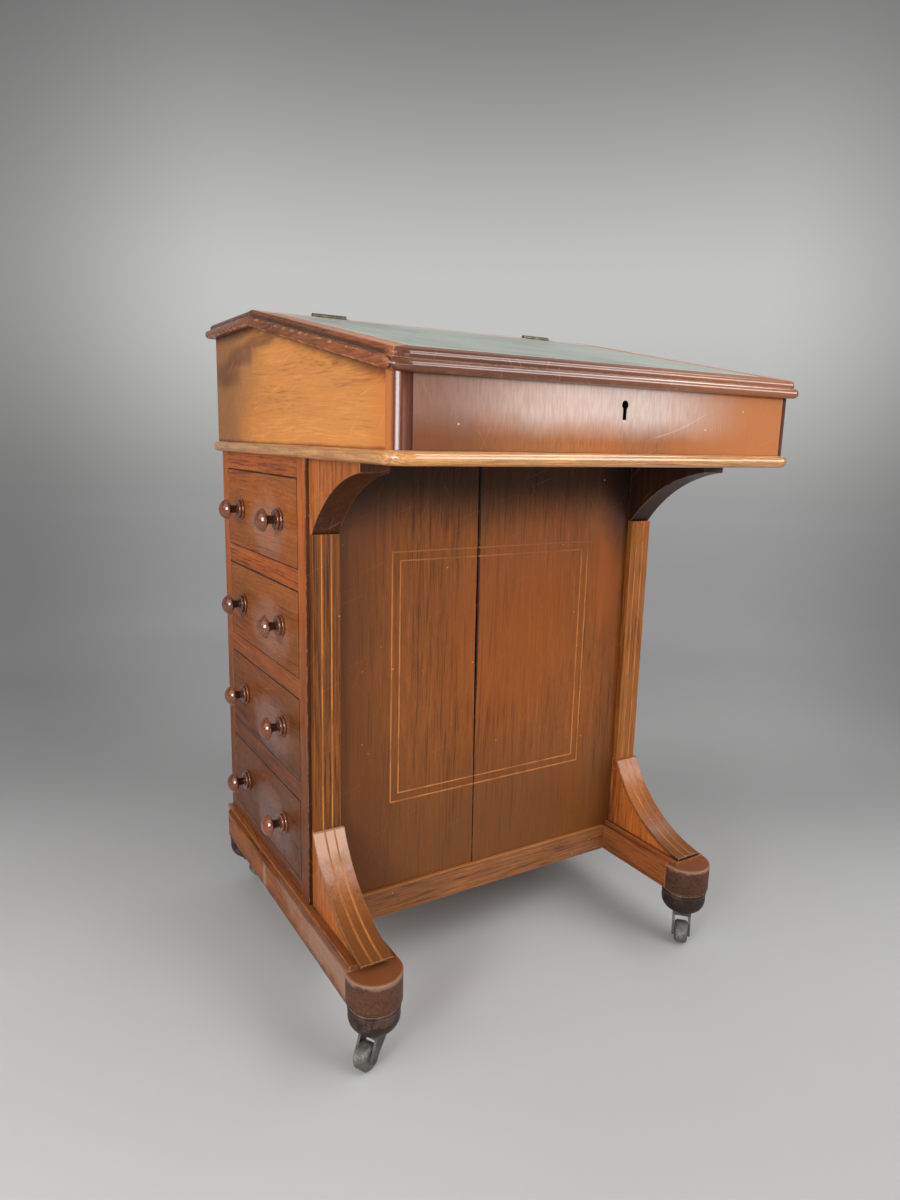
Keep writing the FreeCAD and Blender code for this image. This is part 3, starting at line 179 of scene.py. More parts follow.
class DeskStudio(bpy.types.PropertyGroup):
    floor: colour("Floor", "The pale floor under the desk", 180, 183, 181)
    wall: colour("Backdrop", "The tint of the backdrop", 255, 255, 254)
    daylight: FloatProperty(name="Daylight", description="Light from all round", min=0, default=0.42)
    key: watts("Key lamp", "The small bright lamp at the left", 24)
    side: watts("Side lamp", "The large soft lamp at the left", 12)
    front: watts("Front lamp", "The lamp in front, at the right", 14)
    low: watts("Low lamp", "The soft lamp near the floor in front", 9)
    top: watts("Top lamp", "The lamp overhead", 20)
    strip: watts("Strip lamp", "The long lamp at the right, seen only in the polish", 34)
    shine: watts("Shine lamp", "The lamp behind the key lamp, seen only in the polish", 26)


SETTINGS = {
    "desk_timbers": DeskTimbers,
    "desk_wear": DeskWear,
    "desk_trim": DeskTrim,
    "desk_studio": DeskStudio,
}


# ---------------------------------------------------------------- short calls on a node tree


def arithmetic(operation, swapped=False):
    """A method of Value that does one sum with another value or a plain number."""

    def reckon(self, other):
        pair = (other, self) if swapped else (self, other)
        return self.tree.math(operation, *pair)

    return reckon


class Value:
    """A number or a vector in a node tree, to reckon with in plain arithmetic."""

    __add__ = arithmetic("ADD")
    __radd__ = arithmetic("ADD", swapped=True)
    __sub__ = arithmetic("SUBTRACT")
    __rsub__ = arithmetic("SUBTRACT", swapped=True)
    __mul__ = arithmetic("MULTIPLY")
    __rmul__ = arithmetic("MULTIPLY", swapped=True)
    __truediv__ = arithmetic("DIVIDE")

    def __init__(self, tree, socket):
        self.tree = tree
        self.socket = socket

    def __abs__(self):
        return self.tree.math("ABSOLUTE", self)

    def eased(self, low, high, start=0.0, end=1.0):
        """From start to end as the value goes from low to high, level outside."""
        feeds = {"Value": self, "From Min": low, "From Max": high, "To Min": start, "To Max": end}
        return self.tree.value("ShaderNodeMapRange", feeds, interpolation_type="SMOOTHSTEP")


def least(first, *others):
    for other in others:
        first = first.tree.math("MINIMUM", first, other)
    return first


def most(first, *others):
    for other in others:
        first = first.tree.math("MAXIMUM", first, other)
    return first


class Tree:
    """Short calls that add nodes to one node tree and link them."""

    def __init__(self, tree):
        self.tree = tree

    def node(self, kind, feeds=None, **settings):
        made = self.tree.nodes.new(kind)
        for setting, value in settings.items():
            setattr(made, setting, value)
        self.fill(made.inputs, feeds or {})
        return made

    def fill(self, sockets, feeds):
        """Each feed is a value to link, or a constant to set on the socket."""
        for name, feed in feeds.items():
            socket = sockets[name]
            if isinstance(feed, Value):
                self.tree.links.new(feed.socket, socket)
            elif socket.type == "RGBA":
                socket.default_value = (*feed[:3], 1)
            else:
                socket.default_value = feed

    def value(self, kind, feeds=None, output=0, **settings):
        """One output of a new node."""
        return Value(self, self.node(kind, feeds, **settings).outputs[output])

    def values(self, kind, feeds=None, **settings):
        """All outputs of a new node, by name."""
        return {socket.name: Value(self, socket) for socket in self.node(kind, feeds, **settings).outputs}

    def math(self, operation, *values):
        """An operation on numbers, or on vectors where one of the values is a vector."""
        kinds = {value.socket.type for value in values if isinstance(value, Value)}
        node = "ShaderNodeMath" if kinds == {"VALUE"} else "ShaderNodeVectorMath"
        return self.value(node, dict(enumerate(values)), operation=operation)

    def measure(self, operation, *vectors):
        """A number got from vectors: a distance, a length or a dot product."""
        return self.value("ShaderNodeVectorMath", dict(enumerate(vectors)), "Value", operation=operation)

    def parts(self, vector):
        return tuple(self.values("ShaderNodeSeparateXYZ", {0: vector}).values())

    def joined(self, x, y, z):
        return self.value("ShaderNodeCombineXYZ", {0: x, 1: y, 2: z})

    def noise(self, vector, detail=2.0, roughness=0.5, scale=1.0, output="Fac"):
        feeds = {"Vector": vector, "Scale": scale, "Detail": detail, "Roughness": roughness}
        return self.value("ShaderNodeTexNoise", feeds, output)

    def chances(self, vector):
        """A colour of chances, another one in each whole cell of the vector."""
        return self.value("ShaderNodeTexWhiteNoise", {"Vector": self.math("FLOOR", vector)}, "Color")

    def mix(self, factor, first, second, blend="MIX"):
        feeds = {0: factor, 6: first, 7: second}
        return self.value("ShaderNodeMix", feeds, 2, data_type="RGBA", blend_type=blend, clamp_factor=True)

    def raised(self, height, strength, deep, **feeds):
        """The normal of a surface with this height, in steps of so many metres."""
        feeds = {"Height": height, "Strength": strength, "Distance": deep, **feeds}
        return self.value("ShaderNodeBump", feeds)

    def greys(self, value, full, stops):
        """A smooth run of greys: each stop is a value, out of full, and its grey on a screen."""
        made = self.node("ShaderNodeValToRGB", {0: value / full})
        ramp = made.color_ramp
        ramp.interpolation = "B_SPLINE"
        while len(ramp.elements) < len(stops):
            ramp.elements.new(1.0)
        for element, (place, grey) in zip(ramp.elements, stops):
            element.position = place / full
            element.color = (*on_screen(grey, grey, grey), 1)
        return Value(self, made.outputs[0])

    def group(self, build, feeds):
        """A node of the group that build makes. The group is made the first time it is asked for."""
        group = bpy.data.node_groups.get(build.__name__) or build()
        return self.values("ShaderNodeGroup", feeds, node_tree=group)


KINDS = {"vectors": "NodeSocketVector", "colours": "NodeSocketColor", "numbers": "NodeSocketFloat"}


def new_group(name, inputs, outputs):
    """A new shader group: its tree, what it is given, and the sockets of what it gives."""
    group = bpy.data.node_groups.new(name, "ShaderNodeTree")
    for way, sockets in (("INPUT", inputs), ("OUTPUT", outputs)):
        for kind, names in sockets.items():
            for socket in names.split():
                group.interface.new_socket(socket, in_out=way, socket_type=KINDS[kind])
    tree = Tree(group)
    given = tree.values("NodeGroupInput")
    gives = tree.node("NodeGroupOutput").inputs
    return tree, given, gives


# ---------------------------------------------------------------- effects that several finishes share


def timber_grain():
    """Figured wood along the vector's X: slow figure, fine broken streaks, open pores, warm patches."""
    numbers = "Wave Figure Streaks Pores Patches"
    tree, given, gives = new_group(
        "timber_grain",
        {"vectors": "Vector", "colours": "Pale Middle Dark Warm", "numbers": numbers},
        {"colours": "Color", "numbers": "Height"},
    )
    place = given["Vector"]
    drift = tree.noise(place * (1.7, 6.0, 6.0), output="Color") - (0.5, 0.5, 0.5)
    warped = place + drift * tree.joined(0.0, given["Wave"], given["Wave"])
    figure = tree.noise(warped * (1.2, 13.0, 13.0))
    streak = tree.noise(warped * (4.5, 150.0, 150.0), detail=3.0, roughness=0.6)
    fine = tree.noise(warped * (16.0, 440.0, 440.0), detail=2.0, roughness=0.6)
    pore = tree.noise(warped * (80.0, 1100.0, 1100.0), detail=0.0)
    patch = tree.noise(place * (4.0, 9.0, 9.0), detail=3.0)
    open_pore = pore.eased(0.58, 0.7) * given["Pores"]
    streaks = (streak - 0.5) * 0.4 + (fine - 0.5)
    level = (figure - 0.5) * given["Figure"] + streaks * given["Streaks"] + 0.5
    middle = tree.mix(patch.eased(0.46, 0.66) * given["Patches"], given["Middle"], given["Warm"])
    low = tree.mix(level.eased(0.15, 0.5), given["Dark"], middle)
    both = tree.mix(level.eased(0.5, 0.85), low, given["Pale"])
    shaded = tree.mix(open_pore * 0.7, both, given["Dark"])
    tree.fill(gives, {"Color": shaded, "Height": fine * 0.4 - open_pore})
    return tree.tree


def worn_arris():
    """The soft normal of a rubbed corner, and a mask of where its polish is gone."""
    tree, given, gives = new_group(
        "worn_arris",
        {"vectors": "Vector", "numbers": "Radius Amount"},
        {"numbers": "Mask", "vectors": "Normal"},
    )
    soft = tree.value("ShaderNodeBevel", {"Radius": given["Radius"]}, samples=4)
    flat = tree.value("ShaderNodeNewGeometry", output="Normal")
    corner = tree.measure("DOT_PRODUCT", soft, flat).eased(0.995, 0.88)
    patches = tree.noise(given["Vector"], detail=5.0, roughness=0.7, scale=70.0)
    low = 0.74 - given["Amount"] * 0.4
    tree.fill(gives, {"Mask": corner * patches.eased(low, low + 0.1), "Normal": soft})
    return tree.tree


SCRATCH_WAYS = (
    ((0.5, 0.3, 0.2), (16, 18, 90)),
    ((0.9, -0.4, 1.3), (20, 110, 22)),
    ((2.1, 0.2, 0.7), (120, 24, 18)),
)


def fine_scratches():
    """Thin straight scratches that run three ways, each short and on its own, and a few small bruises."""
    tree, given, gives = new_group(
        "fine_scratches", {"vectors": "Vector", "numbers": "Amount"}, {"numbers": "Mask Bruises"}
    )
    place = given["Vector"]
    lines = []
    for turn, cells in SCRATCH_WAYS:
        spread = tree.value("ShaderNodeVectorRotate", {0: place, 4: turn}, rotation_type="EULER_XYZ") * cells
        chances = tree.chances(spread)
        centre = chances * (0.6, 0.6, 0.6) + (0.2, 0.2, 0.2)
        off = tree.parts(abs(tree.math("FRACTION", spread) - centre))
        thin = cells.index(max(cells))
        line = tree.parts(chances)[thin].eased(0.65, 0.9)
        for step, part in enumerate(off):
            line = line * (part.eased(0.025, 0.008) if step == thin else part.eased(0.42, 0.1))
        lines.append(line)
    spots = tree.values("ShaderNodeTexVoronoi", {"Vector": place, "Scale": 120.0}, feature="F1")
    bruise = spots["Distance"].eased(0.13, 0.07) * tree.parts(spots["Color"])[0].eased(0.975, 0.98)
    tree.fill(gives, {"Mask": most(*lines) * given["Amount"], "Bruises": bruise})
    return tree.tree


def handling():
    """The uneven gloss of an old polish, between a low and a high roughness."""
    tree, given, gives = new_group(
        "handling", {"vectors": "Vector", "numbers": "Low High"}, {"numbers": "Roughness"}
    )
    broad = tree.noise(given["Vector"], detail=3.0, roughness=0.6, scale=9.0)
    close = tree.noise(given["Vector"], scale=120.0)
    both = close * 0.3 + broad * 0.7
    tree.fill(gives, {"Roughness": both.eased(0.35, 0.65, given["Low"], given["High"])})
    return tree.tree


def soft_spot():
    """A round or oval mask with a ragged soft edge, in a place on the desk."""
    tree, given, gives = new_group(
        "soft_spot", {"vectors": "Vector Centre Reach", "numbers": "Ragged"}, {"numbers": "Mask"}
    )
    far = tree.measure("LENGTH", (given["Vector"] - given["Centre"]) / given["Reach"])
    rag = tree.noise(given["Vector"], detail=4.0, roughness=0.65, scale=30.0) - 0.5
    tree.fill(gives, {"Mask": (rag * given["Ragged"] + far).eased(1.3, 0.5)})
    return tree.tree


def aged_metal():
    """Metal with a dull skin and rubbed places: its two colours mixed, roughness and height."""
    tree, given, gives = new_group(
        "aged_metal",
        {"vectors": "Vector", "colours": "Dull Bright", "numbers": "Rubbed Coarse"},
        {"colours": "Color", "numbers": "Roughness Height"},
    )
    skin = tree.noise(given["Vector"], detail=5.0, roughness=0.65, scale=given["Coarse"])
    rubbed = skin.eased(0.4, 0.7) * given["Rubbed"]
    grains = tree.noise(given["Vector"], detail=3.0, roughness=0.7, scale=900.0)
    tinted = tree.mix(rubbed, given["Dull"], given["Bright"])
    speckled = tree.mix(grains.eased(0.35, 0.6, 0.4, 0.0), tinted, (0.012, 0.01, 0.008))
    roughness = rubbed.eased(0.0, 1.0, 0.6, 0.36)
    tree.fill(gives, {"Color": speckled, "Roughness": roughness, "Height": skin * 0.6 + grains})
    return tree.tree


# ---------------------------------------------------------------- finishes


def scaled(shade, red, green=None, blue=None):
    """A colour made lighter or darker, by one factor or by one a channel."""
    factors = (red, red if green is None else green, red if blue is None else blue)
    return tuple(min(part * factor, 1.0) for part, factor in zip(shade, factors))


def new_finish(name):
    """An empty material: its tree, its main shader, and the places on the desk."""
    material = bpy.data.materials.new(name)
    material.use_nodes = True
    tree = Tree(material.node_tree)
    shader = material.node_tree.nodes["Principled BSDF"]
    place = tree.value("ShaderNodeTexCoord", output="Object")
    return material, tree, shader, place


def along_grain(tree, place, axis):
    """The places turned so that the grain runs along X."""
    x, y, z = tree.parts(place)
    return {"X": (x, y, z), "Y": (y, x, z), "Z": (z, x, y)}[axis]


# Each set of boards is a start and a size: the boards lie in a grid of such boxes.
LEFT_AND_RIGHT = ((-1.0, -2.0, -1.0), (1.0, 4.0, 2.0))
FRONT_AND_REAR = ((-1.0, DRAWER_MIDDLE - 1.0, -1.0), (1.0, 1.0, 2.0))
DRAWER_LEVELS = ((-1.0, -1.0, DRAWER_FOOT), (1.0, 3.0, DRAWER_PITCH))


class Timber:
    """A polished wood finish, built up as layers over its grain."""

    def __init__(self, name, shade, axis="Y", shift=0.0, wave=0.02, figure=0.8, streaks=1.4, pores=0.5,
                 patches=0.5, coords=None, boards=None):
        self.material, self.tree, self.shader, self.place = new_finish(name)
        tree = self.tree
        self.wear = bpy.context.scene.desk_wear
        self.x, self.y, self.z = tree.parts(self.place)
        self.shade = tuple(shade)
        along = coords(self) if coords else tree.joined(*along_grain(tree, self.place, axis))
        along = along + (shift * 1.37, shift * 0.71, shift * 0.43)
        if boards:
            start, size = boards
            along = along + tree.chances((self.place - start) / size) * (3.0, 3.0, 3.0)
        grain = tree.group(timber_grain, {
            "Vector": along,
            "Pale": scaled(self.shade, 1.5, 1.48, 1.45),
            "Middle": self.shade,
            "Dark": scaled(self.shade, 0.42, 0.36, 0.36),
            "Warm": scaled(self.shade, 1.35, 1.1, 0.7),
            "Wave": wave,
            "Figure": figure,
            "Streaks": streaks,
            "Pores": pores,
            "Patches": patches,
        })
        self.color = grain["Color"]
        self.height = grain["Height"]

    def layer(self, mask, shade, amount=1.0, blend="MIX"):
        """A colour laid over the wood where the mask is, at most by the amount."""
        self.color = self.tree.mix(mask * amount, self.color, shade, blend)

    def shadow(self, mask, shade):
        """The wood tinted by a colour where the mask is, letting the grain through: for stains and dark
        joints, and for painted shade.
        """
        self.layer(mask, shade, blend="MULTIPLY")

    def spot(self, centre, reach, shade, amount=0.8, ragged=1.0):
        """A ragged patch of colour in a place on the desk."""
        feeds = {"Vector": self.place, "Centre": centre, "Reach": reach, "Ragged": ragged}
        self.layer(self.tree.group(soft_spot, feeds)["Mask"], shade, amount)

    def ragged(self, value, low, high, unevenness, scale=30.0):
        """A mask that grows as the value goes from low to high, with an uneven edge."""
        uneven = self.tree.noise(self.place, detail=4.0, roughness=0.6, scale=scale) - 0.5
        return (uneven * unevenness + value).eased(low, high)

    def finish(self, low=0.34, high=0.5, coat=0.15, coat_rough=0.16, edge=None, scratches=None, arris=None,
               rubbed=None, bump=0.12):
        """Put on the rubbed edges, the scratches and the polish."""
        tree = self.tree
        wear = self.wear
        worn = tree.group(worn_arris, {
            "Vector": self.place,
            "Radius": wear.arris if arris is None else arris,
            "Amount": wear.edge_wear if edge is None else edge,
        })
        self.layer(worn["Mask"], rubbed or wear.rubbed, 0.85)
        amount = wear.scratches if scratches is None else scratches
        lines = tree.group(fine_scratches, {"Vector": self.place, "Amount": amount})
        self.layer(lines["Mask"], scaled(self.shade, 2.4, 2.4, 2.6))
        self.layer(lines["Bruises"], wear.bruised, 0.7)
        gloss = tree.group(handling, {"Vector": self.place, "Low": low, "High": high})
        height = self.height - lines["Bruises"]
        tree.fill(self.shader.inputs, {
            "Base Color": self.color,
            "Roughness": gloss["Roughness"],
            "Specular IOR Level": 0.2,
            "Coat Weight": coat,
            "Coat Roughness": coat_rough,
            "Normal": tree.raised(height, bump, 0.0004, Normal=worn["Normal"]),
        })
        return self.material


def inside_wood(name, axis, shift, boards=None):
    """Plain unpolished wood, for the parts that are seen only when the desk is open."""
    shade = bpy.context.scene.desk_timbers.inside
    timber = Timber(name, shade, axis, shift, figure=0.7, streaks=0.6, patches=0.2, boards=boards)
    return timber.finish(low=0.55, high=0.75, coat=0.0, edge=0.3, scratches=0.2)


def metal(name, dull, bright, rubbed, coarse, metallic=0.85, bump=0.35, arris=0.0008, dark=None):
    """Aged metal, rubbed bright on its corners, with painted shade where the given mask is."""
    material, tree, shader, place = new_finish(name)
    skin = tree.group(
        aged_metal, {"Vector": place, "Dull": dull, "Bright": bright, "Rubbed": rubbed, "Coarse": coarse}
    )
    worn = tree.group(worn_arris, {"Vector": place, "Radius": arris, "Amount": 1.0})
    tone = tree.mix(worn["Mask"], skin["Color"], bright)
    if dark:
        # Painted shade where the mask is.
        tone = tree.mix(dark(tree, place), tone, scaled(dull, 0.03))
    tree.fill(shader.inputs, {
        "Base Color": tone,
        "Roughness": skin["Roughness"],
        "Metallic": metallic,
        "Normal": tree.raised(skin["Height"], bump, 0.0003, Normal=worn["Normal"]),
    })
    return material


def keyhole_shade(tree, place):
    """A mask of what is seen only through the keyhole, which is given painted shade."""
    x, _, z = tree.parts(place)
    near = tree.measure("DISTANCE", tree.joined(x, 0.0, z), (0.0, 0.0, (LOCK_LOW.z + LOCK_HIGH.z) / 2))
    return near.eased(0.026, 0.02)


def give(material, *names):
    """The finish for every slot of these pieces."""
    for name in names:
        for place in frame["nodes"][name].material_slots:
            place.material = material


# ---------------------------------------------------------------- one operator for each group of pieces


class Piece(bpy.types.Operator):
    """A group of pieces of the desk"""

    bl_options = {"REGISTER", "UNDO"}

    def execute(self, context):
        scene = context.scene
        self.make(scene.desk_timbers, scene.desk_wear, scene.desk_trim)
        return {"FINISHED"}


class FeetFinish(Piece):
    """Scuffed timber for the sledge feet, their front blocks, ledges and rails"""

    bl_idname = "desk.feet"
    bl_label = "Feet and base"

    def make(self, timbers, wear, trim):
        for side, shift in (("left", 0.2), ("right", 3.4)):
            foot = Timber(f"foot {side}", timbers.foot, "Y", shift, wave=0.03)
            outer = FOOT_LOW.x if side == "left" else -FOOT_LOW.x
            foot.spot((outer, FOOT_LOW.y, FOOT_HIGH.z), (0.02, 0.16, 0.04), wear.scuffs, 0.6, 2.0)
            bottom = foot.ragged(foot.z, FOOT_LOW.z + 0.012, FOOT_LOW.z, 0.02, 40.0)
            foot.shadow(bottom, (0.6, 0.6, 0.66))
            foot.spot((outer, 0.08, 0.096), (0.02, 0.006, 0.018), wear.scuffs)
            foot.spot((outer, -0.02, FOOT_HIGH.z), (0.02, 0.05, 0.012), wear.scuffs, 0.4)
            give(foot.finish(low=0.4, high=0.6, coat=0.05, edge=0.8), f"sledge_foot_{side}")
        nose = Timber("foot nose", timbers.nose, "Y", 5.1, figure=1.2, boards=LEFT_AND_RIGHT)
        rim = nose.ragged(nose.z, FOOT_HIGH.z - 0.007, FOOT_HIGH.z - 0.002, 0.012, 90.0)
        side = nose.z.eased(FOOT_HIGH.z - 0.0002, FOOT_HIGH.z - 0.0008)
        nose.layer(rim * side, wear.scuffs, 0.6)
        # Painted light: the top face of each nose is painted paler, as where the light falls on it.
        nose.layer(1.0 - side, scaled(timbers.foot, 0.95, 0.95, 1.15), 0.7)
        # Painted shade along the bottom of each nose, over its bun.
        nose.shadow(nose.z.eased(FOOT_LOW.z + 0.004, FOOT_LOW.z + 0.001), (0.3, 0.3, 0.32))
        give(nose.finish(low=0.42, high=0.62, coat=0.05, edge=1.0, arris=0.003), "foot_noses")
        ledge = Timber("foot ledge", timbers.foot, "Y", 1.9)
        give(ledge.finish(low=0.26, high=0.4, coat=0.4, edge=0.9), "foot_ledges")
        rail = Timber("base rail", timbers.base_rail, "X", 2.7)
        # Painted highlight: the top edge of each rail is painted paler, as where the light falls on it.
        rail.layer(rail.z.eased(RAIL_TOP - 0.0012, RAIL_TOP - 0.0004), scaled(timbers.boxwood, 0.75), 0.8)
        give(rail.finish(low=0.36, high=0.55, edge=1.0), "base_rails")
        give(inside_wood("base board", "X", 7.0), "base_board")


class BunFinish(Piece):
    """Dark turned wood for the buns"""

    bl_idname = "desk.buns"
    bl_label = "Buns"

    def make(self, timbers, wear, trim):
        bun = Timber("bun", timbers.bun, "X", 0.7, figure=1.2, boards=((0.0, 0.02, 0.0), (1.0, 1.0, 1.0)))
        scuffed = bun.tree.noise(bun.place, detail=5.0, roughness=0.7, scale=55.0)
        bun.layer(scuffed.eased(0.5, 0.62), scaled(wear.scuffs, 0.6), 0.25)
        give(bun.finish(low=0.4, high=0.62, coat=0.05, edge=1.0, arris=0.002), "foot_buns")


class CastorFinish(Piece):
    """Cast iron for the castors, rubbed bright on their wheels"""

    bl_idname = "desk.castors"
    bl_label = "Castors"

    def make(self, timbers, wear, trim):
        plate = metal("castor plate", trim.iron, trim.bright_iron, 0.3, 60.0, metallic=0.4)
        fork = metal("castor fork", trim.iron, trim.bright_iron, 0.35, 90.0, metallic=0.4)
        wheel = metal("castor wheel", scaled(trim.iron, 1.6), trim.bright_iron, 0.9, 70.0, metallic=0.4)
        give(plate, "castor_plates")
        for end in ("front", "rear"):
            for side in ("left", "right"):
                give(fork, f"castor_{end}_{side}_fork")
                give(wheel, f"castor_{end}_{side}_wheel")


def darker_below(timber):
    """Painted shade: darker and duller towards the floor, where the light falls off."""
    low = timber.ragged(timber.z, DRAWER_HIGH.z, DRAWER_FOOT + DRAWER_PITCH, 0.06, 12.0)
    timber.shadow(low, (0.34, 0.35, 0.46))


def rim_of(timber, low, high):
    """A thin mask round the face of a drawer, where painted shade darkens it along the gap."""
    nearest = least(timber.y - low.y, high.y - timber.y, timber.z - low.z, high.z - timber.z)
    face = timber.x.eased(low.x + 0.003, low.x + 0.001)
    return face * nearest.eased(0.0016, 0.0006)


class FrameFinish(Piece):
    """Polished timber for the stiles, the rails, the back and the runners"""

    bl_idname = "desk.frames"
    bl_label = "Pedestal frame"

    def make(self, timbers, wear, trim):
        stile = Timber("stile", timbers.frame, "Z", 0.3, wave=0.008, boards=FRONT_AND_REAR)
        darker_below(stile)
        # Painted shade on the narrow recessed front strip of each stile, beside the pilaster.
        front = stile.y.eased(PILASTERS_HIGH.y + 0.0012, PILASTERS_HIGH.y + 0.0004)
        stile.layer(front, wear.grime, 0.8)
        give(stile.finish(edge=0.7), "side_stiles")
        rail = Timber("drawer rail", timbers.frame, "Y", 1.3, wave=0.012, boards=DRAWER_LEVELS)
        darker_below(rail)
        give(rail.finish(edge=0.3), "drawer_rails")
        back = Timber("back panel", scaled(timbers.panel, 0.9), "Z", 4.2)
        give(back.finish(low=0.45, high=0.65, coat=0.1), "back_panel")
        give(inside_wood("runner", "X", 3.0, DRAWER_LEVELS), "drawer_runners")


class DrawerFinish(Piece):
    """Polished fronts, plain boxes and turned knobs for the drawers"""

    bl_idname = "desk.drawers"
    bl_label = "Drawers and knobs"

    def make(self, timbers, wear, trim):
        box = inside_wood("drawer box", "X", 0.0)
        knob = self.turned_knob(timbers)
        for number in range(1, 5):
            front = Timber(
                f"drawer front {number}", timbers.drawer, "Y", number * 2.3, wave=0.04, streaks=1.0
            )
            darker_below(front)
            middle = (DRAWER_LOW.x, DRAWER_MIDDLE - 0.03, DRAWER_HIGH.z - (number - 0.5) * DRAWER_PITCH)
            # A faint painted sheen in the middle of each drawer front.
            front.spot(middle, (0.05, 0.07, 0.04), wear.bloom, 0.1)
            # Painted shade along the gap round each drawer front.
            front.layer(rim_of(front, *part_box(f"drawer_{number}_front")), wear.grime, 0.9)
            give(front.finish(edge=0.3), f"drawer_{number}_front")
            give(box, f"drawer_{number}_box")
            give(knob, f"drawer_{number}_knobs")
        dummy = Timber("dummy front", timbers.drawer, "Y", 6.1, wave=0.04, boards=DRAWER_LEVELS)
        darker_below(dummy)
        give(dummy.finish(edge=0.3), "dummy_drawer_fronts")
        give(knob, "dummy_knobs")

    def turned_knob(self, timbers):
        """Very glossy wood, darker round the neck."""
        knob = Timber("knob", timbers.knob, "X", 0.9, streaks=0.5)
        from_neck = abs(abs(knob.x) + KNOB_TIP + KNOB_NECK)
        knob.shadow(from_neck.eased(0.0065, 0.003), (0.22, 0.2, 0.22))
        return knob.finish(
            low=0.16, high=0.26, coat=1.0, coat_rough=0.05, edge=0.2, scratches=0.2, bump=0.04
        )


class PanelFinish(Piece):
    """The two upright boards of the front, with orange patches in their polish"""

    bl_idname = "desk.panel"
    bl_label = "Front panel"

    def make(self, timbers, wear, trim):
        for side, shift in (("left", 0.0), ("right", 8.6)):
            name = f"front board {side}"
            board = Timber(name, timbers.panel, "Z", shift, wave=0.01, figure=0.5, streaks=1.1, patches=0.3)
            self.old_polish(board, timbers)
            self.split(board, wear)
            # Painted shade at the top of each board, under the overhang of the case.
            board.shadow(board.ragged(board.z, 0.56, 0.64, 0.03, 8.0), (0.17, 0.22, 0.38))
            # Painted shade in the top right corner of the panel, beside the right bracket.
            board.spot((0.24, PANEL_LOW.y, 0.64), (0.07, 0.3, 0.11), scaled(wear.grime, 0.6), 0.8, 0.5)
            finished = board.finish(low=0.36, high=0.52, coat=0.08, scratches=0.3, arris=0.0006)
            give(finished, f"front_board_{side}")

    def old_polish(self, board, timbers):
        """Warm in the middle, dull at the left, at the right and near the floor."""
        warm = scaled(timbers.panel, 1.4, 1.15, 0.7)
        dull = scaled(timbers.panel, 0.5, 0.5, 0.65)
        low = scaled(dull, 1.15, 1.4, 2.2)
        board.spot((0.03, PANEL_LOW.y, 0.45), (0.12, 0.3, 0.14), warm, 0.45, 0.6)
        board.spot((0.19, PANEL_LOW.y, 0.52), (0.03, 0.3, 0.12), warm, 0.7, 0.6)
        board.layer(board.ragged(board.z, 0.34, 0.16, 0.1, 8.0), low, 0.7)
        board.layer(board.ragged(board.x, -0.12, -0.2, 0.06, 8.0), dull, 0.8)
        board.shadow(board.ragged(board.x, 0.17, 0.22, 0.04, 8.0), (0.72, 0.68, 0.7))

    def split(self, board, wear):
        """A ragged dark split that leans from one board's edge to the other's, wider towards its top, and
        painted shade behind the face.
        """
        lean = (PANEL_LOW.x - LEFT_BOARD_HIGH.x) / (PANEL_HIGH.z - PANEL_LOW.z)
        middle = (board.z - PANEL_LOW.z) * lean + LEFT_BOARD_HIGH.x
        beside = abs(board.x - middle) - board.z.eased(0.3, 0.4, 0.0006, 0.0022)
        board.layer(board.ragged(beside, 0.0008, -0.0002, 0.0024, 60.0), scaled(wear.grime, 0.4), 0.9)
        # Painted shade on the board's surfaces behind its face, such as the sides of the split.
        within = board.y.eased(PANEL_LOW.y + 0.0002, PANEL_LOW.y + 0.0008)
        board.layer(within, scaled(wear.grime, 0.3))


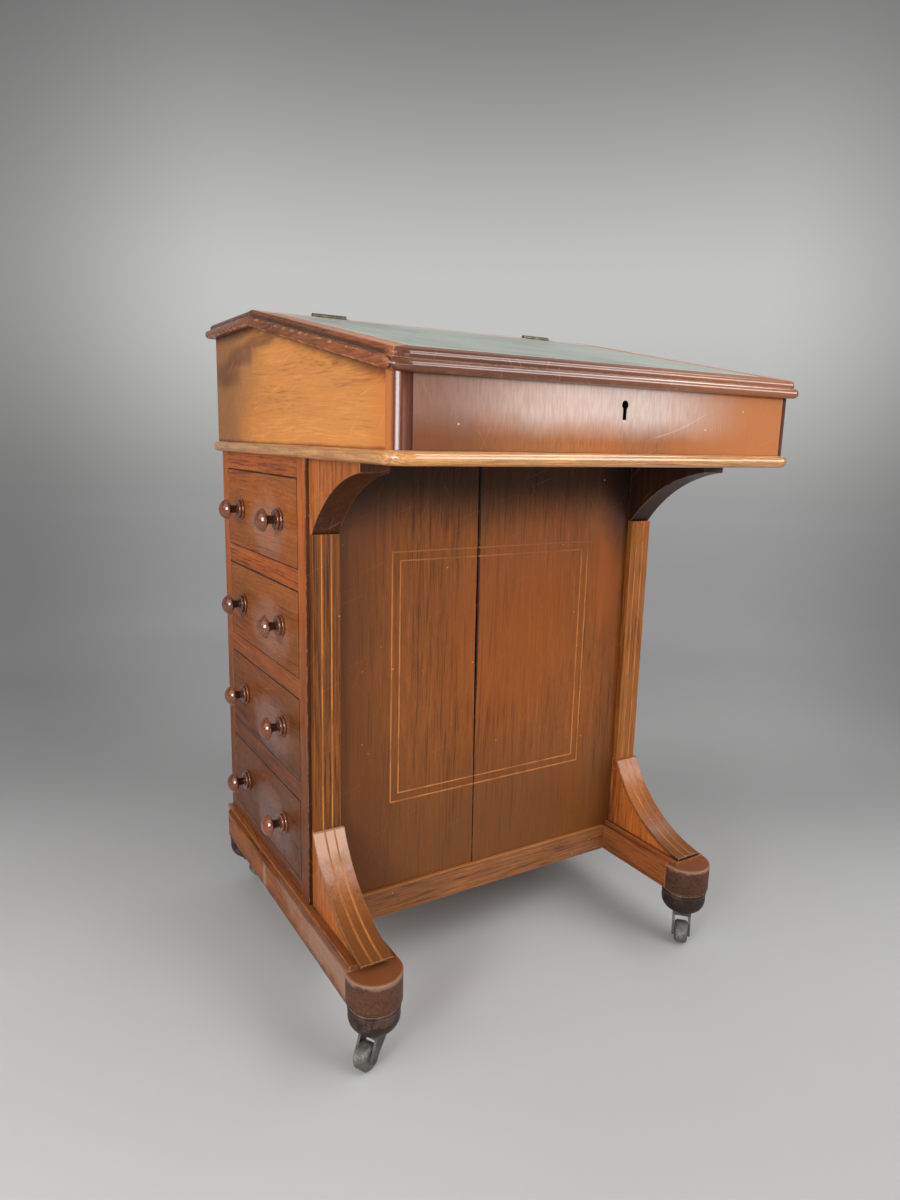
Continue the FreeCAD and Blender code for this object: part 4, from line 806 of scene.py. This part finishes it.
class BracketFinish(Piece):
    """Polished timber for the pilasters and brackets, and their boxwood lines"""

    bl_idname = "desk.brackets"
    bl_label = "Brackets, pilasters and lines"

    def make(self, timbers, wear, trim):
        give(self.pilaster(timbers), "pilasters")
        upper = Timber("upper bracket", timbers.bracket, "Z", 2.5, boards=LEFT_AND_RIGHT)
        # Painted shade on the inner sides and curved undersides of the upper brackets.
        inner = abs(upper.x).eased(PILASTERS_HIGH.x - 0.0004, PILASTERS_HIGH.x - 0.0012)
        upper.shadow(inner, (0.18, 0.2, 0.3))
        # Painted shade over the right upper bracket.
        upper.shadow(upper.x.eased(-0.05, 0.05), (0.45, 0.5, 0.7))
        give(upper.finish(edge=0.8), "upper_brackets")
        lower = Timber("lower bracket", timbers.bracket, "Z", 4.5, boards=LEFT_AND_RIGHT)
        give(lower.finish(edge=0.8), "lower_brackets")
        give(self.facing(timbers, wear), "bracket_facings")
        give(self.line(timbers), "boxwood_lines")

    def pilaster(self, timbers):
        """Wood with fine upright reeds of a golden tone."""
        gold = scaled(timbers.boxwood, 0.8)
        pilaster = Timber(
            "pilaster", timbers.pilaster, "Z", 0.5, wave=0.006, patches=0.6, boards=LEFT_AND_RIGHT
        )
        # Painted shade: the left pilaster is darker than the right one.
        pilaster.shadow(pilaster.x.eased(0.1, -0.1), (0.62, 0.58, 0.5))
        reeds = pilaster.tree.noise(pilaster.place * (420.0, 1.0, 5.0))
        pilaster.layer(reeds.eased(0.54, 0.64), gold, 0.25)
        return pilaster.finish(edge=1.0, rubbed=gold)

    def facing(self, timbers, wear):
        """A curved strip, bleached at its top and brown at its toe, with painted shade along its bottom edge.
        """
        facing = Timber("bracket facing", timbers.facing, "Z", 6.5, figure=1.0, boards=LEFT_AND_RIGHT)
        pink = scaled(wear.scuffs, 1.6, 1.5, 1.5)
        facing.spot((FACINGS_LOW.x, FACINGS_HIGH.y, FACINGS_HIGH.z), (0.08, 0.05, 0.05), pink, 0.9)
        toe = facing.ragged(facing.z, FACINGS_LOW.z + 0.06, FACINGS_LOW.z + 0.01, 0.03)
        facing.layer(toe, scaled(timbers.facing, 0.62, 0.72, 1.3), 0.8)
        # Painted shade along the bottom of each facing, where the slot under its toe is dark.
        facing.layer(facing.z.eased(FACINGS_LOW.z + 0.005, FACINGS_LOW.z + 0.0035), wear.grime)
        return facing.finish(low=0.28, high=0.42, coat=0.3, edge=1.0)

    def line(self, timbers):
        """Pale wood, broken in places, and faded towards the top of the panel and on the facings."""
        line = Timber("boxwood line", timbers.boxwood, "Z", 1.5, figure=0.4, streaks=0.3, pores=0.1)
        broken = line.tree.noise(line.place, detail=4.0, roughness=0.6, scale=22.0)
        line.layer(broken.eased(0.46, 0.6), timbers.panel, 0.6)
        on_panel = abs(line.x).eased(PANEL_HIGH.x, PANEL_HIGH.x - 0.01)
        line.layer(on_panel * line.ragged(line.z, 0.5, 0.57, 0.05, 12.0), timbers.panel, 0.6)
        low = line.z.eased(FACINGS_HIGH.z + 0.001, FACINGS_HIGH.z - 0.001)
        line.layer(low * (1.0 - on_panel), timbers.facing, 0.5)
        return line.finish(low=0.35, high=0.5, coat=0.05, edge=0.0)


class CaseFinish(Piece):
    """Polished timber for the case, its posts and its moulding"""

    bl_idname = "desk.case"
    bl_label = "Case"

    def make(self, timbers, wear, trim):
        for side, shift in (("left", 0.0), ("right", 5.5)):
            give(self.side_board(timbers, wear, side, shift), f"case_side_{side}")
        give(self.front_board(timbers, wear), "case_front")
        give(self.posts(timbers), "case_corner_posts")
        moulding = Timber("moulding", timbers.moulding, coords=round_the_case)
        give(moulding.finish(low=0.3, high=0.42, coat=1.0, coat_rough=0.1, edge=0.7), "case_moulding")
        give(Timber("case back", scaled(timbers.case_side, 0.6), "X", 3.1).finish(), "case_back")
        give(inside_wood("case bottom", "X", 2.2), "case_bottom")
        give(inside_wood("nest", "X", 4.4), "drawer_nest")
        stacked = ((-1.0, -1.0, -1.0), (1.0, 3.0, 3.0))
        small = Timber("small drawer", scaled(timbers.drawer, 1.1), "X", 6.6, boards=stacked)
        give(small.finish(), "small_drawer_left", "small_drawer_right")

    def side_board(self, timbers, wear, side, shift):
        """Honey coloured, brown and stained towards the rear, with painted shade under the lid and just above
        the moulding.
        """
        honey = timbers.case_side
        board = Timber(
            f"case side {side}", honey, "Y", shift, wave=0.07, figure=0.7, streaks=0.65, pores=0.1
        )
        outer = SIDE_LOW.x if side == "left" else -SIDE_LOW.x
        brown = scaled(honey, 0.4, 0.42, 0.6)
        board.layer(board.ragged(board.y, 0.02, 0.22, 0.14, 12.0), brown, 0.85)
        for y, z, up in STAINS:
            board.spot((outer, y, z), (0.1, 0.06, up), wear.stain, 0.6, 1.2)
        board.layer(board.ragged(board.y, -0.2, -0.25, 0.04), scaled(honey, 0.95, 0.72, 0.6), 0.6)
        # Painted shade in a band under the lid's edge.
        fall = (SIDE_HIGH.z - CASE_HIGH.z) / (LEATHER_HIGH.y - SIDE_LOW.y)
        from_lid = SIDE_HIGH.z - most(LEATHER_HIGH.y - board.y, 0.0) * fall - board.z
        board.shadow(board.ragged(from_lid, 0.014, 0.0, 0.008), (0.34, 0.27, 0.26))
        # Painted shade in a thin band just above the moulding.
        over_moulding = board.ragged(board.z, SIDE_LOW.z + 0.004, SIDE_LOW.z, 0.003)
        board.shadow(over_moulding, (0.5, 0.42, 0.4))
        return board.finish(low=0.36, high=0.5, coat=0.1, edge=0.4)

    def front_board(self, timbers, wear):
        """Brown at the left, warm at the right, with a few old dents; a painted sheen in its upper middle,
        partly a tired polish, and painted shade under the lid and in the keyhole.
        """
        brown = timbers.case_front
        board = Timber("case front", brown, "Z", 1.1, wave=0.006, figure=0.6, streaks=0.45, patches=1.0)
        tree = board.tree
        face = CASE_LOW.y
        board.layer(board.ragged(board.x, -0.1, -0.22, 0.12, 12.0), scaled(brown, 0.5, 0.42, 0.5), 0.85)
        golden = scaled(brown, 1.3, 1.15, 0.8)
        board.spot((0.12, face, CASE_LOW.z + 0.01), (0.05, 0.3, 0.02), golden, 0.5)
        board.layer(board.ragged(board.x, 0.02, 0.2, 0.12, 12.0), scaled(brown, 1.6, 1.5, 1.3), 0.8)
        # Painted sheen: a milky veil, brushed upright, in the upper middle of the front, partly a tired
        # polish.
        brushed = tree.noise(board.place * (420.0, 1.0, 60.0), detail=4.0, roughness=0.6)
        high = board.ragged(board.z, CASE_LOW.z + 0.008, CASE_HIGH.z - 0.028, 0.02, 14.0)
        middle = board.x.eased(0.2, 0.02) * board.x.eased(-0.24, -0.05, 0.15, 1.0)
        board.layer(high * middle * brushed.eased(0.3, 0.7, 0.72, 1.0), wear.bloom, 0.75)
        for x, z, reach in DENTS:
            board.spot((x, face, z), (reach, 0.3, reach), wear.bruised, 0.8, 0.4)
        from_arc = abs(tree.measure("DISTANCE", tree.joined(board.x, 0.0, board.z), ARC_CENTRE) - ARC_RADIUS)
        along = board.x.eased(0.04, 0.05) * board.x.eased(0.125, 0.115)
        board.layer(from_arc.eased(0.0008, 0.0003) * along, wear.bruised, 0.3)
        # Painted shade in a band along the top of the front, under the lid.
        board.layer(board.z.eased(CASE_HIGH.z - 0.006, CASE_HIGH.z - 0.001), wear.grime, 0.7)
        # Painted shade inside the keyhole.
        within = board.y.eased(face + 0.0002, face + 0.0006)
        board.layer(keyhole_shade(tree, board.place) * within, scaled(wear.grime, 0.3))
        return board.finish(low=0.42, high=0.55, coat=0.06, edge=0.2)

    def posts(self, timbers):
        """Dark and glossy, with the colour of the case side on their outer edge."""
        post = Timber("corner post", timbers.corner_post, "Z", 0.6)
        inward = POSTS_HIGH.x - abs(post.x)
        post.shadow(inward.eased(0.013, 0.0178), (0.45, 0.4, 0.42))
        post.layer(inward.eased(0.0035, 0.0008), scaled(timbers.case_side, 0.85, 0.68, 0.6), 0.85)
        polish = inward.eased(0.014, 0.009, 0.05, 0.75)
        return post.finish(low=0.6, high=0.7, coat=polish, coat_rough=0.08, edge=0.3)


def runs_fore_and_aft(timber):
    """A mask of the mouldings down the sides, which meet the one at the front in mitres."""
    out = abs(timber.x) - LID_HIGH.x
    edge = timber.tree.math("GREATER_THAN", out, LEATHER_HIGH.x - LID_HIGH.x - 0.002)
    return edge * timber.tree.math("GREATER_THAN", out, LID_LOW.y - timber.y)


def round_the_case(timber):
    """Grain that runs along the front edge, and along each side edge."""
    turned = timber.tree.joined(timber.y, timber.x, timber.z)
    feeds = {0: runs_fore_and_aft(timber), 4: timber.place, 5: turned}
    return timber.tree.value("ShaderNodeMix", feeds, 1, data_type="VECTOR")


class LidFinish(Piece):
    """Polished timber round the lid and the fixed top"""

    bl_idname = "desk.lid"
    bl_label = "Lid and fixed top"

    def make(self, timbers, wear, trim):
        give(self.lid(timbers, wear), "lid")
        top = Timber("fixed top", timbers.lid_side, "X", 4.9, figure=1.0, streaks=1.6)
        self.moulded_edge(top, least(TOP_HIGH.x - abs(top.x), TOP_HIGH.y - top.y), wear)
        give(top.finish(low=0.22, high=0.36, coat=0.5, edge=0.9), "fixed_top")

    def lid(self, timbers, wear):
        """Its front edge is dark, warmer to the right, and glossy on the bead only; a painted highlight runs
        along its rear margin.
        """
        lid = Timber("lid edge", timbers.lid_side, coords=round_the_case, shift=1.8, figure=1.0, streaks=1.6)
        inward = least(LID_HIGH.x - abs(lid.x), lid.y - LID_LOW.y)
        self.moulded_edge(lid, inward, wear)
        front = (1.0 - runs_fore_and_aft(lid)) * lid.y.eased(LEATHER_LOW.y + 0.03, LEATHER_LOW.y)
        lid.layer(front, timbers.lid_front, 0.8)
        lid.layer(front * lid.ragged(lid.x, -0.15, 0.2, 0.2), scaled(timbers.lid_side, 0.8), 0.6)
        # Painted highlight: a pale strip along the rear margin, where the polish catches the light at a
        # grazing view.
        rear = lid.y.eased(LEATHER_HIGH.y, LEATHER_HIGH.y + 0.002)
        upper = lid.z.eased(LEATHER_HIGH.z - 0.008, LEATHER_HIGH.z - 0.004)
        lid.layer(rear * inward.eased(0.013, 0.018) * upper, wear.bloom, 0.6)
        polish = (front * inward.eased(0.0068, 0.0056)).eased(0.0, 1.0, 0.2, 1.0)
        low = (front * inward.eased(0.006, 0.0072)).eased(0.0, 1.0, 0.3, 0.6)
        return lid.finish(low=low, high=low + 0.12, coat=polish, coat_rough=0.1, edge=0.9)

    def moulded_edge(self, timber, inward, wear):
        """A brown bead and ovolo, chips along the bead, and a dark line in the step between them."""
        timber.shadow(timber.ragged(inward, 0.013, 0.0105, 0.006, 60.0), (0.42, 0.38, 0.42))
        chips = timber.tree.noise(timber.place, detail=5.0, roughness=0.7, scale=80.0).eased(0.48, 0.6)
        on_bead = abs(inward - BEAD_MIDDLE).eased(0.0022, 0.001)
        timber.layer(chips * on_bead, scaled(wear.rubbed, 1.2), 0.8)
        timber.layer(abs(inward - BEAD_STEP).eased(0.0012, 0.0004), wear.grime, 0.85)


class LeatherFinish(Piece):
    """Old writing leather with a tooled line"""

    bl_idname = "desk.leather"
    bl_label = "Leather"

    def make(self, timbers, wear, trim):
        material, tree, shader, place = new_finish("leather")
        hide = trim.leather
        x, y, _ = tree.parts(place)
        along = LEATHER_HIGH.y - LEATHER_LOW.y
        run = math.hypot(along, LEATHER_HIGH.z - LEATHER_LOW.z) / along
        inset = least(LEATHER_HIGH.x - abs(x), (y - LEATHER_LOW.y) * run, (LEATHER_HIGH.y - y) * run)
        line = abs(inset - trim.tooling_inset).eased(trim.tooling_width * 0.7, trim.tooling_width * 0.3)
        cells = tree.values(
            "ShaderNodeTexVoronoi", {"Vector": place, "Scale": 700.0}, feature="DISTANCE_TO_EDGE"
        )
        pebble = cells["Distance"].eased(0.0, 0.18)
        cloud = tree.noise(place, detail=4.0, roughness=0.6, scale=7.0)
        tone = tree.mix(cloud.eased(0.3, 0.7), scaled(hide, 0.8), scaled(hide, 1.25))
        tone = tree.mix(pebble.eased(0.0, 1.0, 0.3, 0.0), tone, scaled(hide, 0.4))
        tone = tree.mix(inset.eased(0.012, 0.0, 0.0, 0.5), tone, scaled(hide, 1.8, 1.6, 1.3))
        gloss = tree.group(handling, {"Vector": place, "Low": 0.3, "High": 0.42})
        tree.fill(shader.inputs, {
            "Base Color": tree.mix(line, tone, trim.tooling),
            "Roughness": gloss["Roughness"],
            "Normal": tree.raised(pebble * 0.35 - line, 0.2, 0.0006),
        })
        give(material, "lid_leather")


class MetalFinish(Piece):
    """Aged metal for the hinges and the lock"""

    bl_idname = "desk.metals"
    bl_label = "Hinges and lock"

    def make(self, timbers, wear, trim):
        brass = metal("hinge brass", trim.brass, scaled(trim.brass, 2.0), 0.6, 120.0, bump=0.2)
        bright = scaled(trim.steel, 1.8)
        steel = metal("lock steel", trim.steel, bright, 0.5, 120.0, bump=0.2)
        # The lock is painted dark where it is seen through the keyhole: painted shade.
        lock = metal("lock body", trim.steel, bright, 0.5, 120.0, bump=0.2, dark=keyhole_shade)
        give(brass, "hinge_fixed_leaves", "hinge_lid_leaves", "lock_strike")
        give(lock, "lock_body")
        give(steel, "lock_bolt")


def lid_surface():
    """The lid's slope: a point on the top of its leather, and the way that top faces."""
    mesh = frame["nodes"]["lid_leather"].data
    facing_up = [face for face in mesh.polygons if face.normal.z > 0.5]
    widest = max(facing_up, key=lambda face: face.area)
    return widest.center.copy(), widest.normal.copy()


class HingeScrews(Piece):
    """Slotted screws in the leaves of the hinges"""

    bl_idname = "desk.screws"
    bl_label = "Hinge screws"

    def make(self, timbers, wear, trim):
        finish = metal("screw", scaled(trim.brass, 0.8), scaled(trim.brass, 2.2), 0.7, 300.0, arris=0.0003)
        corners = [corner.co.x for corner in frame["nodes"]["hinge_lid_leaves"].data.vertices]
        middle = (min(x for x in corners if x > 0) + LID_LEAF_HIGH.x) / 2
        point, up = lid_surface()
        fixed_y = (TOP_LOW.y + FIXED_LEAF_HIGH.y) / 2 + SCREW_SHIFT
        lid_y = (TOP_LOW.y + LID_LEAF_LOW.y) / 2 - SCREW_SHIFT
        lid_z = point.z + (point.y - lid_y) * up.y / up.z
        slope = Vector((0, 0, 1)).rotation_difference(up).to_matrix().to_4x4()
        rows = (
            ("hinge_screws_fixed", "desk", fixed_y, TOP_HIGH.z, Matrix.Identity(4)),
            ("hinge_screws_lid", "lid", lid_y, lid_z, slope),
        )
        for name, body, y, z, turn in rows:
            heads = []
            for hinge in (-1, 1):
                for step in (-1, 0, 1):
                    place = Vector((hinge * middle + step * trim.screw_pitch, y, z))
                    heads.append(Matrix.Translation(place) @ turn)
            piece = join_copies(name, screw_head(trim), heads)
            piece.data.materials.append(finish)
            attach(piece, body)


def screw_head(trim):
    """One screw head with its slot, as it stands out of the surface at the origin."""
    bpy.ops.object.select_all(action="DESELECT")
    bpy.ops.mesh.primitive_cylinder_add(vertices=20, radius=trim.screw_radius, depth=2 * trim.screw_rise)
    head = bpy.context.object
    rim = head.modifiers.new("rim", "BEVEL")
    rim.width = trim.screw_rise * 0.6
    rim.segments = 2
    bpy.ops.object.modifier_apply(modifier=rim.name)
    bpy.ops.mesh.primitive_cube_add(size=1, location=(0, 0, trim.screw_rise * 1.2))
    slot = bpy.context.object
    slot.scale = (3 * trim.screw_radius, trim.screw_slot, 2 * trim.screw_rise)
    bpy.ops.object.transform_apply(location=True, scale=True)
    bpy.ops.object.select_all(action="DESELECT")
    head.select_set(True)
    bpy.context.view_layer.objects.active = head
    cut = head.modifiers.new("slot", "BOOLEAN")
    cut.operation = "DIFFERENCE"
    cut.object = slot
    bpy.ops.object.modifier_apply(modifier=cut.name)
    bpy.data.objects.remove(slot, do_unlink=True)
    return head


def join_copies(name, model, places):
    """Copies of a model, one in each place, joined as one piece. The model goes."""
    bpy.ops.object.select_all(action="DESELECT")
    for step, place in enumerate(places):
        copy = model.copy()
        copy.data = model.data.copy()
        bpy.context.scene.collection.objects.link(copy)
        copy.matrix_world = place @ Matrix.Rotation(step * SLOT_TURN, 4, "Z")
        copy.select_set(True)
        bpy.context.view_layer.objects.active = copy
    bpy.data.objects.remove(model, do_unlink=True)
    bpy.ops.object.transform_apply(location=True, rotation=True, scale=True)
    bpy.ops.object.join()
    piece = bpy.context.object
    piece.name = name
    bpy.ops.object.select_all(action="DESELECT")
    return piece


# ---------------------------------------------------------------- the studio

# The camera: its place, its lens in millimetres, how it is turned, and the level ways ahead and to its right.
CAMERA = (-0.5946, -0.9154, 0.6867)
LENS = 24.384
HEADING = math.radians(-31.386)
LOOK_DOWN = math.radians(11.211)
ROLL = math.radians(1.395)
VIEW_WAY = (-math.sin(HEADING), math.cos(HEADING))
VIEW_SIDE = (math.cos(HEADING), math.sin(HEADING))

STUDIO_REACH = 9.0  # the radius of the floor, and the height of the backdrop

# For each lamp: the place, what it faces, its width and height, and whether it lights matt things.
LAMPS = {
    "key": ((-2.12, -1.23, 0.95), (-0.2, -0.2, 0.6), (0.6, 0.9), True),
    "side": ((-1.9, -0.4, 1.5), (-0.2, 0.0, 0.4), (1.6, 1.4), True),
    "front": ((1.3, -2.05, 1.5), (0.0, -0.2, 0.5), (1.3, 1.3), True),
    "low": ((-0.4, -2.3, 0.5), (0.0, 0.0, 0.1), (2.0, 0.7), True),
    "top": ((1.1, -0.85, 2.1), (0.1, -0.1, 0.6), (2.2, 0.4), True),
    "strip": ((1.9, -1.9, 1.3), (0.1, -0.3, 0.7), (2.8, 0.6), False),
    "shine": ((-2.2, -1.3, 1.0), (-0.2, -0.2, 0.6), (1.2, 1.1), False),
}

# Greys on a screen, with the fall of the light painted in: of the floor by how far it is from the camera, of
# the backdrop by its height.
FLOOR_TONES = (
    (0.0, 204), (0.92, 204), (1.1, 198), (1.3, 188), (1.55, 158), (1.95, 176), (2.6, 148), (4.0, 147),
    (6.5, 152), (7.5, 154), (9.0, 154),
)
WALL_TONES = (
    (0.0, 154), (0.15, 154), (0.7, 169), (1.5, 191), (2.3, 199), (3.0, 189), (3.8, 168), (4.6, 146),
    (5.6, 118),
)
# The dark grey that painted shade on the floor and backdrop goes towards.
DIM = (0.1, 0.1, 0.1)


class Studio(bpy.types.Operator):
    """A plain pale floor, a far backdrop, soft lamps and a camera"""

    bl_idname = "desk.studio"
    bl_label = "Studio"
    bl_options = {"REGISTER", "UNDO"}

    def execute(self, context):
        studio = context.scene.desk_studio
        bpy.ops.object.select_all(action="DESELECT")
        bpy.ops.mesh.primitive_circle_add(vertices=96, radius=STUDIO_REACH, fill_type="NGON")
        floor = context.object
        floor.name = "studio_floor"
        bpy.ops.mesh.primitive_cylinder_add(
            vertices=96,
            radius=STUDIO_REACH,
            depth=STUDIO_REACH,
            end_fill_type="NOTHING",
            location=(0, 0, STUDIO_REACH / 2),
        )
        wall = context.object
        wall.name = "studio_backdrop"
        bpy.ops.object.transform_apply(location=True)
        bpy.ops.object.mode_set(mode="EDIT")
        bpy.ops.mesh.select_all(action="SELECT")
        bpy.ops.mesh.flip_normals()
        bpy.ops.object.mode_set(mode="OBJECT")
        bpy.ops.object.shade_smooth()
        wall.visible_diffuse = False
        wall.visible_shadow = False
        floor.data.materials.append(floor_finish(studio))
        wall.data.materials.append(wall_finish(studio))
        self.light(context, studio)
        self.look(context)
        context.scene.view_settings.view_transform = "Standard"
        return {"FINISHED"}

    def light(self, context, studio):
        """Even daylight and the lamps."""
        world = bpy.data.worlds.new("daylight")
        world.use_nodes = True
        background = world.node_tree.nodes["Background"]
        background.inputs["Color"].default_value = (1, 1, 1, 1)
        background.inputs["Strength"].default_value = studio.daylight
        context.scene.world = world
        for setting, (place, target, (width, height), on_matt) in LAMPS.items():
            light = bpy.data.lights.new(f"{setting} lamp", "AREA")
            light.shape = "RECTANGLE"
            light.size = width
            light.size_y = height
            light.energy = getattr(studio, setting)
            lamp = bpy.data.objects.new(light.name, light)
            context.scene.collection.objects.link(lamp)
            lamp.location = place
            lamp.rotation_euler = (Vector(target) - Vector(place)).to_track_quat("-Z", "Y").to_euler()
            lamp.visible_diffuse = on_matt

    def look(self, context):
        """A camera at the height of the case, turned a little down."""
        camera = bpy.data.cameras.new("camera")
        camera.sensor_fit = "VERTICAL"
        camera.sensor_height = 36
        camera.lens = LENS
        stand = bpy.data.objects.new("camera", camera)
        context.scene.collection.objects.link(stand)
        heading = Matrix.Rotation(HEADING, 4, "Z")
        tilt = Matrix.Rotation(math.pi / 2 - LOOK_DOWN, 4, "X")
        stand.matrix_world = Matrix.Translation(CAMERA) @ heading @ tilt @ Matrix.Rotation(ROLL, 4, "Z")
        context.scene.camera = stand


def along_view(tree, place, way):
    """How far a place is along a level direction from the camera's foot."""
    x, y, _ = tree.parts(place)
    return (x - CAMERA[0]) * way[0] + (y - CAMERA[1]) * way[1]


def dimmer_outwards(tree, place):
    """A mask of what lies far to the left, to the right or behind, out of the lamps' reach, for painted
    shade.
    """
    depth = along_view(tree, place, VIEW_WAY)
    across = along_view(tree, place, VIEW_SIDE) / most(depth, 0.5)
    return most(abs(across - 0.05).eased(0.29, 0.62, 0.0, 0.6), depth.eased(0.5, 0.0, 0.0, 0.6))


def floor_finish(studio):
    """The floor: pale round the desk, painted darker behind it and aside, out of the lamps' reach; far off it
    glows.
    """
    material, tree, shader, place = new_finish("studio floor")
    depth = along_view(tree, place, VIEW_WAY)
    tone = tree.greys(depth, STUDIO_REACH, FLOOR_TONES)
    cloud = tree.noise(place, detail=5.0, roughness=0.6, scale=3.0)
    tone = tree.mix(cloud.eased(0.3, 0.7, 0.04, 0.0), tone, (0.2, 0.2, 0.2))
    # Painted shade: towards the right near the desk, and far out to the sides and behind.
    right = along_view(tree, place, VIEW_SIDE).eased(-0.9, 0.7, 0.0, 0.24)
    tone = tree.mix(right * depth.eased(2.0, 1.4), tone, DIM)
    tone = tree.mix(dimmer_outwards(tree, place) * depth.eased(1.2, 2.2), tone, DIM)
    tone = tree.mix(1.0, tone, scaled(studio.floor, 1 / studio.floor[0]), "MULTIPLY")
    tree.fill(shader.inputs, {"Base Color": tone, "Roughness": 0.75})
    # Far from the desk the floor glows with its painted tone for camera and glossy rays: painted light.
    glow = tree.value("ShaderNodeEmission", {"Color": tone, "Strength": 1.0})
    ray = tree.values("ShaderNodeLightPath")
    seen = most(ray["Is Camera Ray"], ray["Is Glossy Ray"])
    far = tree.measure("DISTANCE", place, (0.0, 0.0, 0.0)).eased(1.0, 2.2)
    feeds = {0: far * seen, 1: Value(tree, shader.outputs[0]), 2: glow}
    return surfaced(material, tree, tree.value("ShaderNodeMixShader", feeds))


def wall_finish(studio):
    """The backdrop glows with a painted tone, brightest at the height of a lamp. In the desk's gloss only its
    rear half is bright.
    """
    material, tree, _, place = new_finish("studio backdrop")
    _, y, z = tree.parts(place)
    tone = tree.greys(z, STUDIO_REACH, WALL_TONES)
    tone = tree.mix(dimmer_outwards(tree, place), tone, DIM)
    glossy = tree.value("ShaderNodeLightPath", output="Is Glossy Ray")
    tone = tree.mix(y.eased(2.0, -2.0, 0.0, 0.8) * glossy, tone, (0.0, 0.0, 0.0))
    tone = tree.mix(1.0, tone, studio.wall, "MULTIPLY")
    return surfaced(material, tree, tree.value("ShaderNodeEmission", {"Color": tone, "Strength": 1.0}))


def surfaced(material, tree, shading):
    """The material with this shading as its surface."""
    tree.fill(material.node_tree.nodes["Material Output"].inputs, {"Surface": shading})
    return material


# ---------------------------------------------------------------- the add-on

STEPS = (
    FeetFinish,
    BunFinish,
    CastorFinish,
    FrameFinish,
    DrawerFinish,
    PanelFinish,
    BracketFinish,
    CaseFinish,
    LidFinish,
    LeatherFinish,
    MetalFinish,
    HingeScrews,
    Studio,
)


class DeskPanel(bpy.types.Panel):
    """The steps of the desk, in the order in which they are made"""

    bl_idname = "VIEW3D_PT_davenport_desk"
    bl_label = "Davenport desk"
    bl_space_type = "VIEW_3D"
    bl_region_type = "UI"
    bl_category = "Desk"

    def draw(self, context):
        for step in STEPS:
            self.layout.operator(step.bl_idname)
        for name, settings in SETTINGS.items():
            column = self.layout.column()
            for setting in settings.__annotations__:
                column.prop(getattr(context.scene, name), setting)


def register():
    for name, settings in SETTINGS.items():
        bpy.utils.register_class(settings)
        setattr(bpy.types.Scene, name, PointerProperty(type=settings))
    for step in STEPS:
        bpy.utils.register_class(step)
    bpy.utils.register_class(DeskPanel)


def unregister():
    bpy.utils.unregister_class(DeskPanel)
    for step in reversed(STEPS):
        bpy.utils.unregister_class(step)
    for name, settings in SETTINGS.items():
        delattr(bpy.types.Scene, name)
        bpy.utils.unregister_class(settings)


def main():
    register()
    bpy.ops.object.select_all(action="DESELECT")
    for step in STEPS:
        getattr(bpy.ops.desk, step.bl_idname.split(".")[1])()


if __name__ == "__main__":
    main()
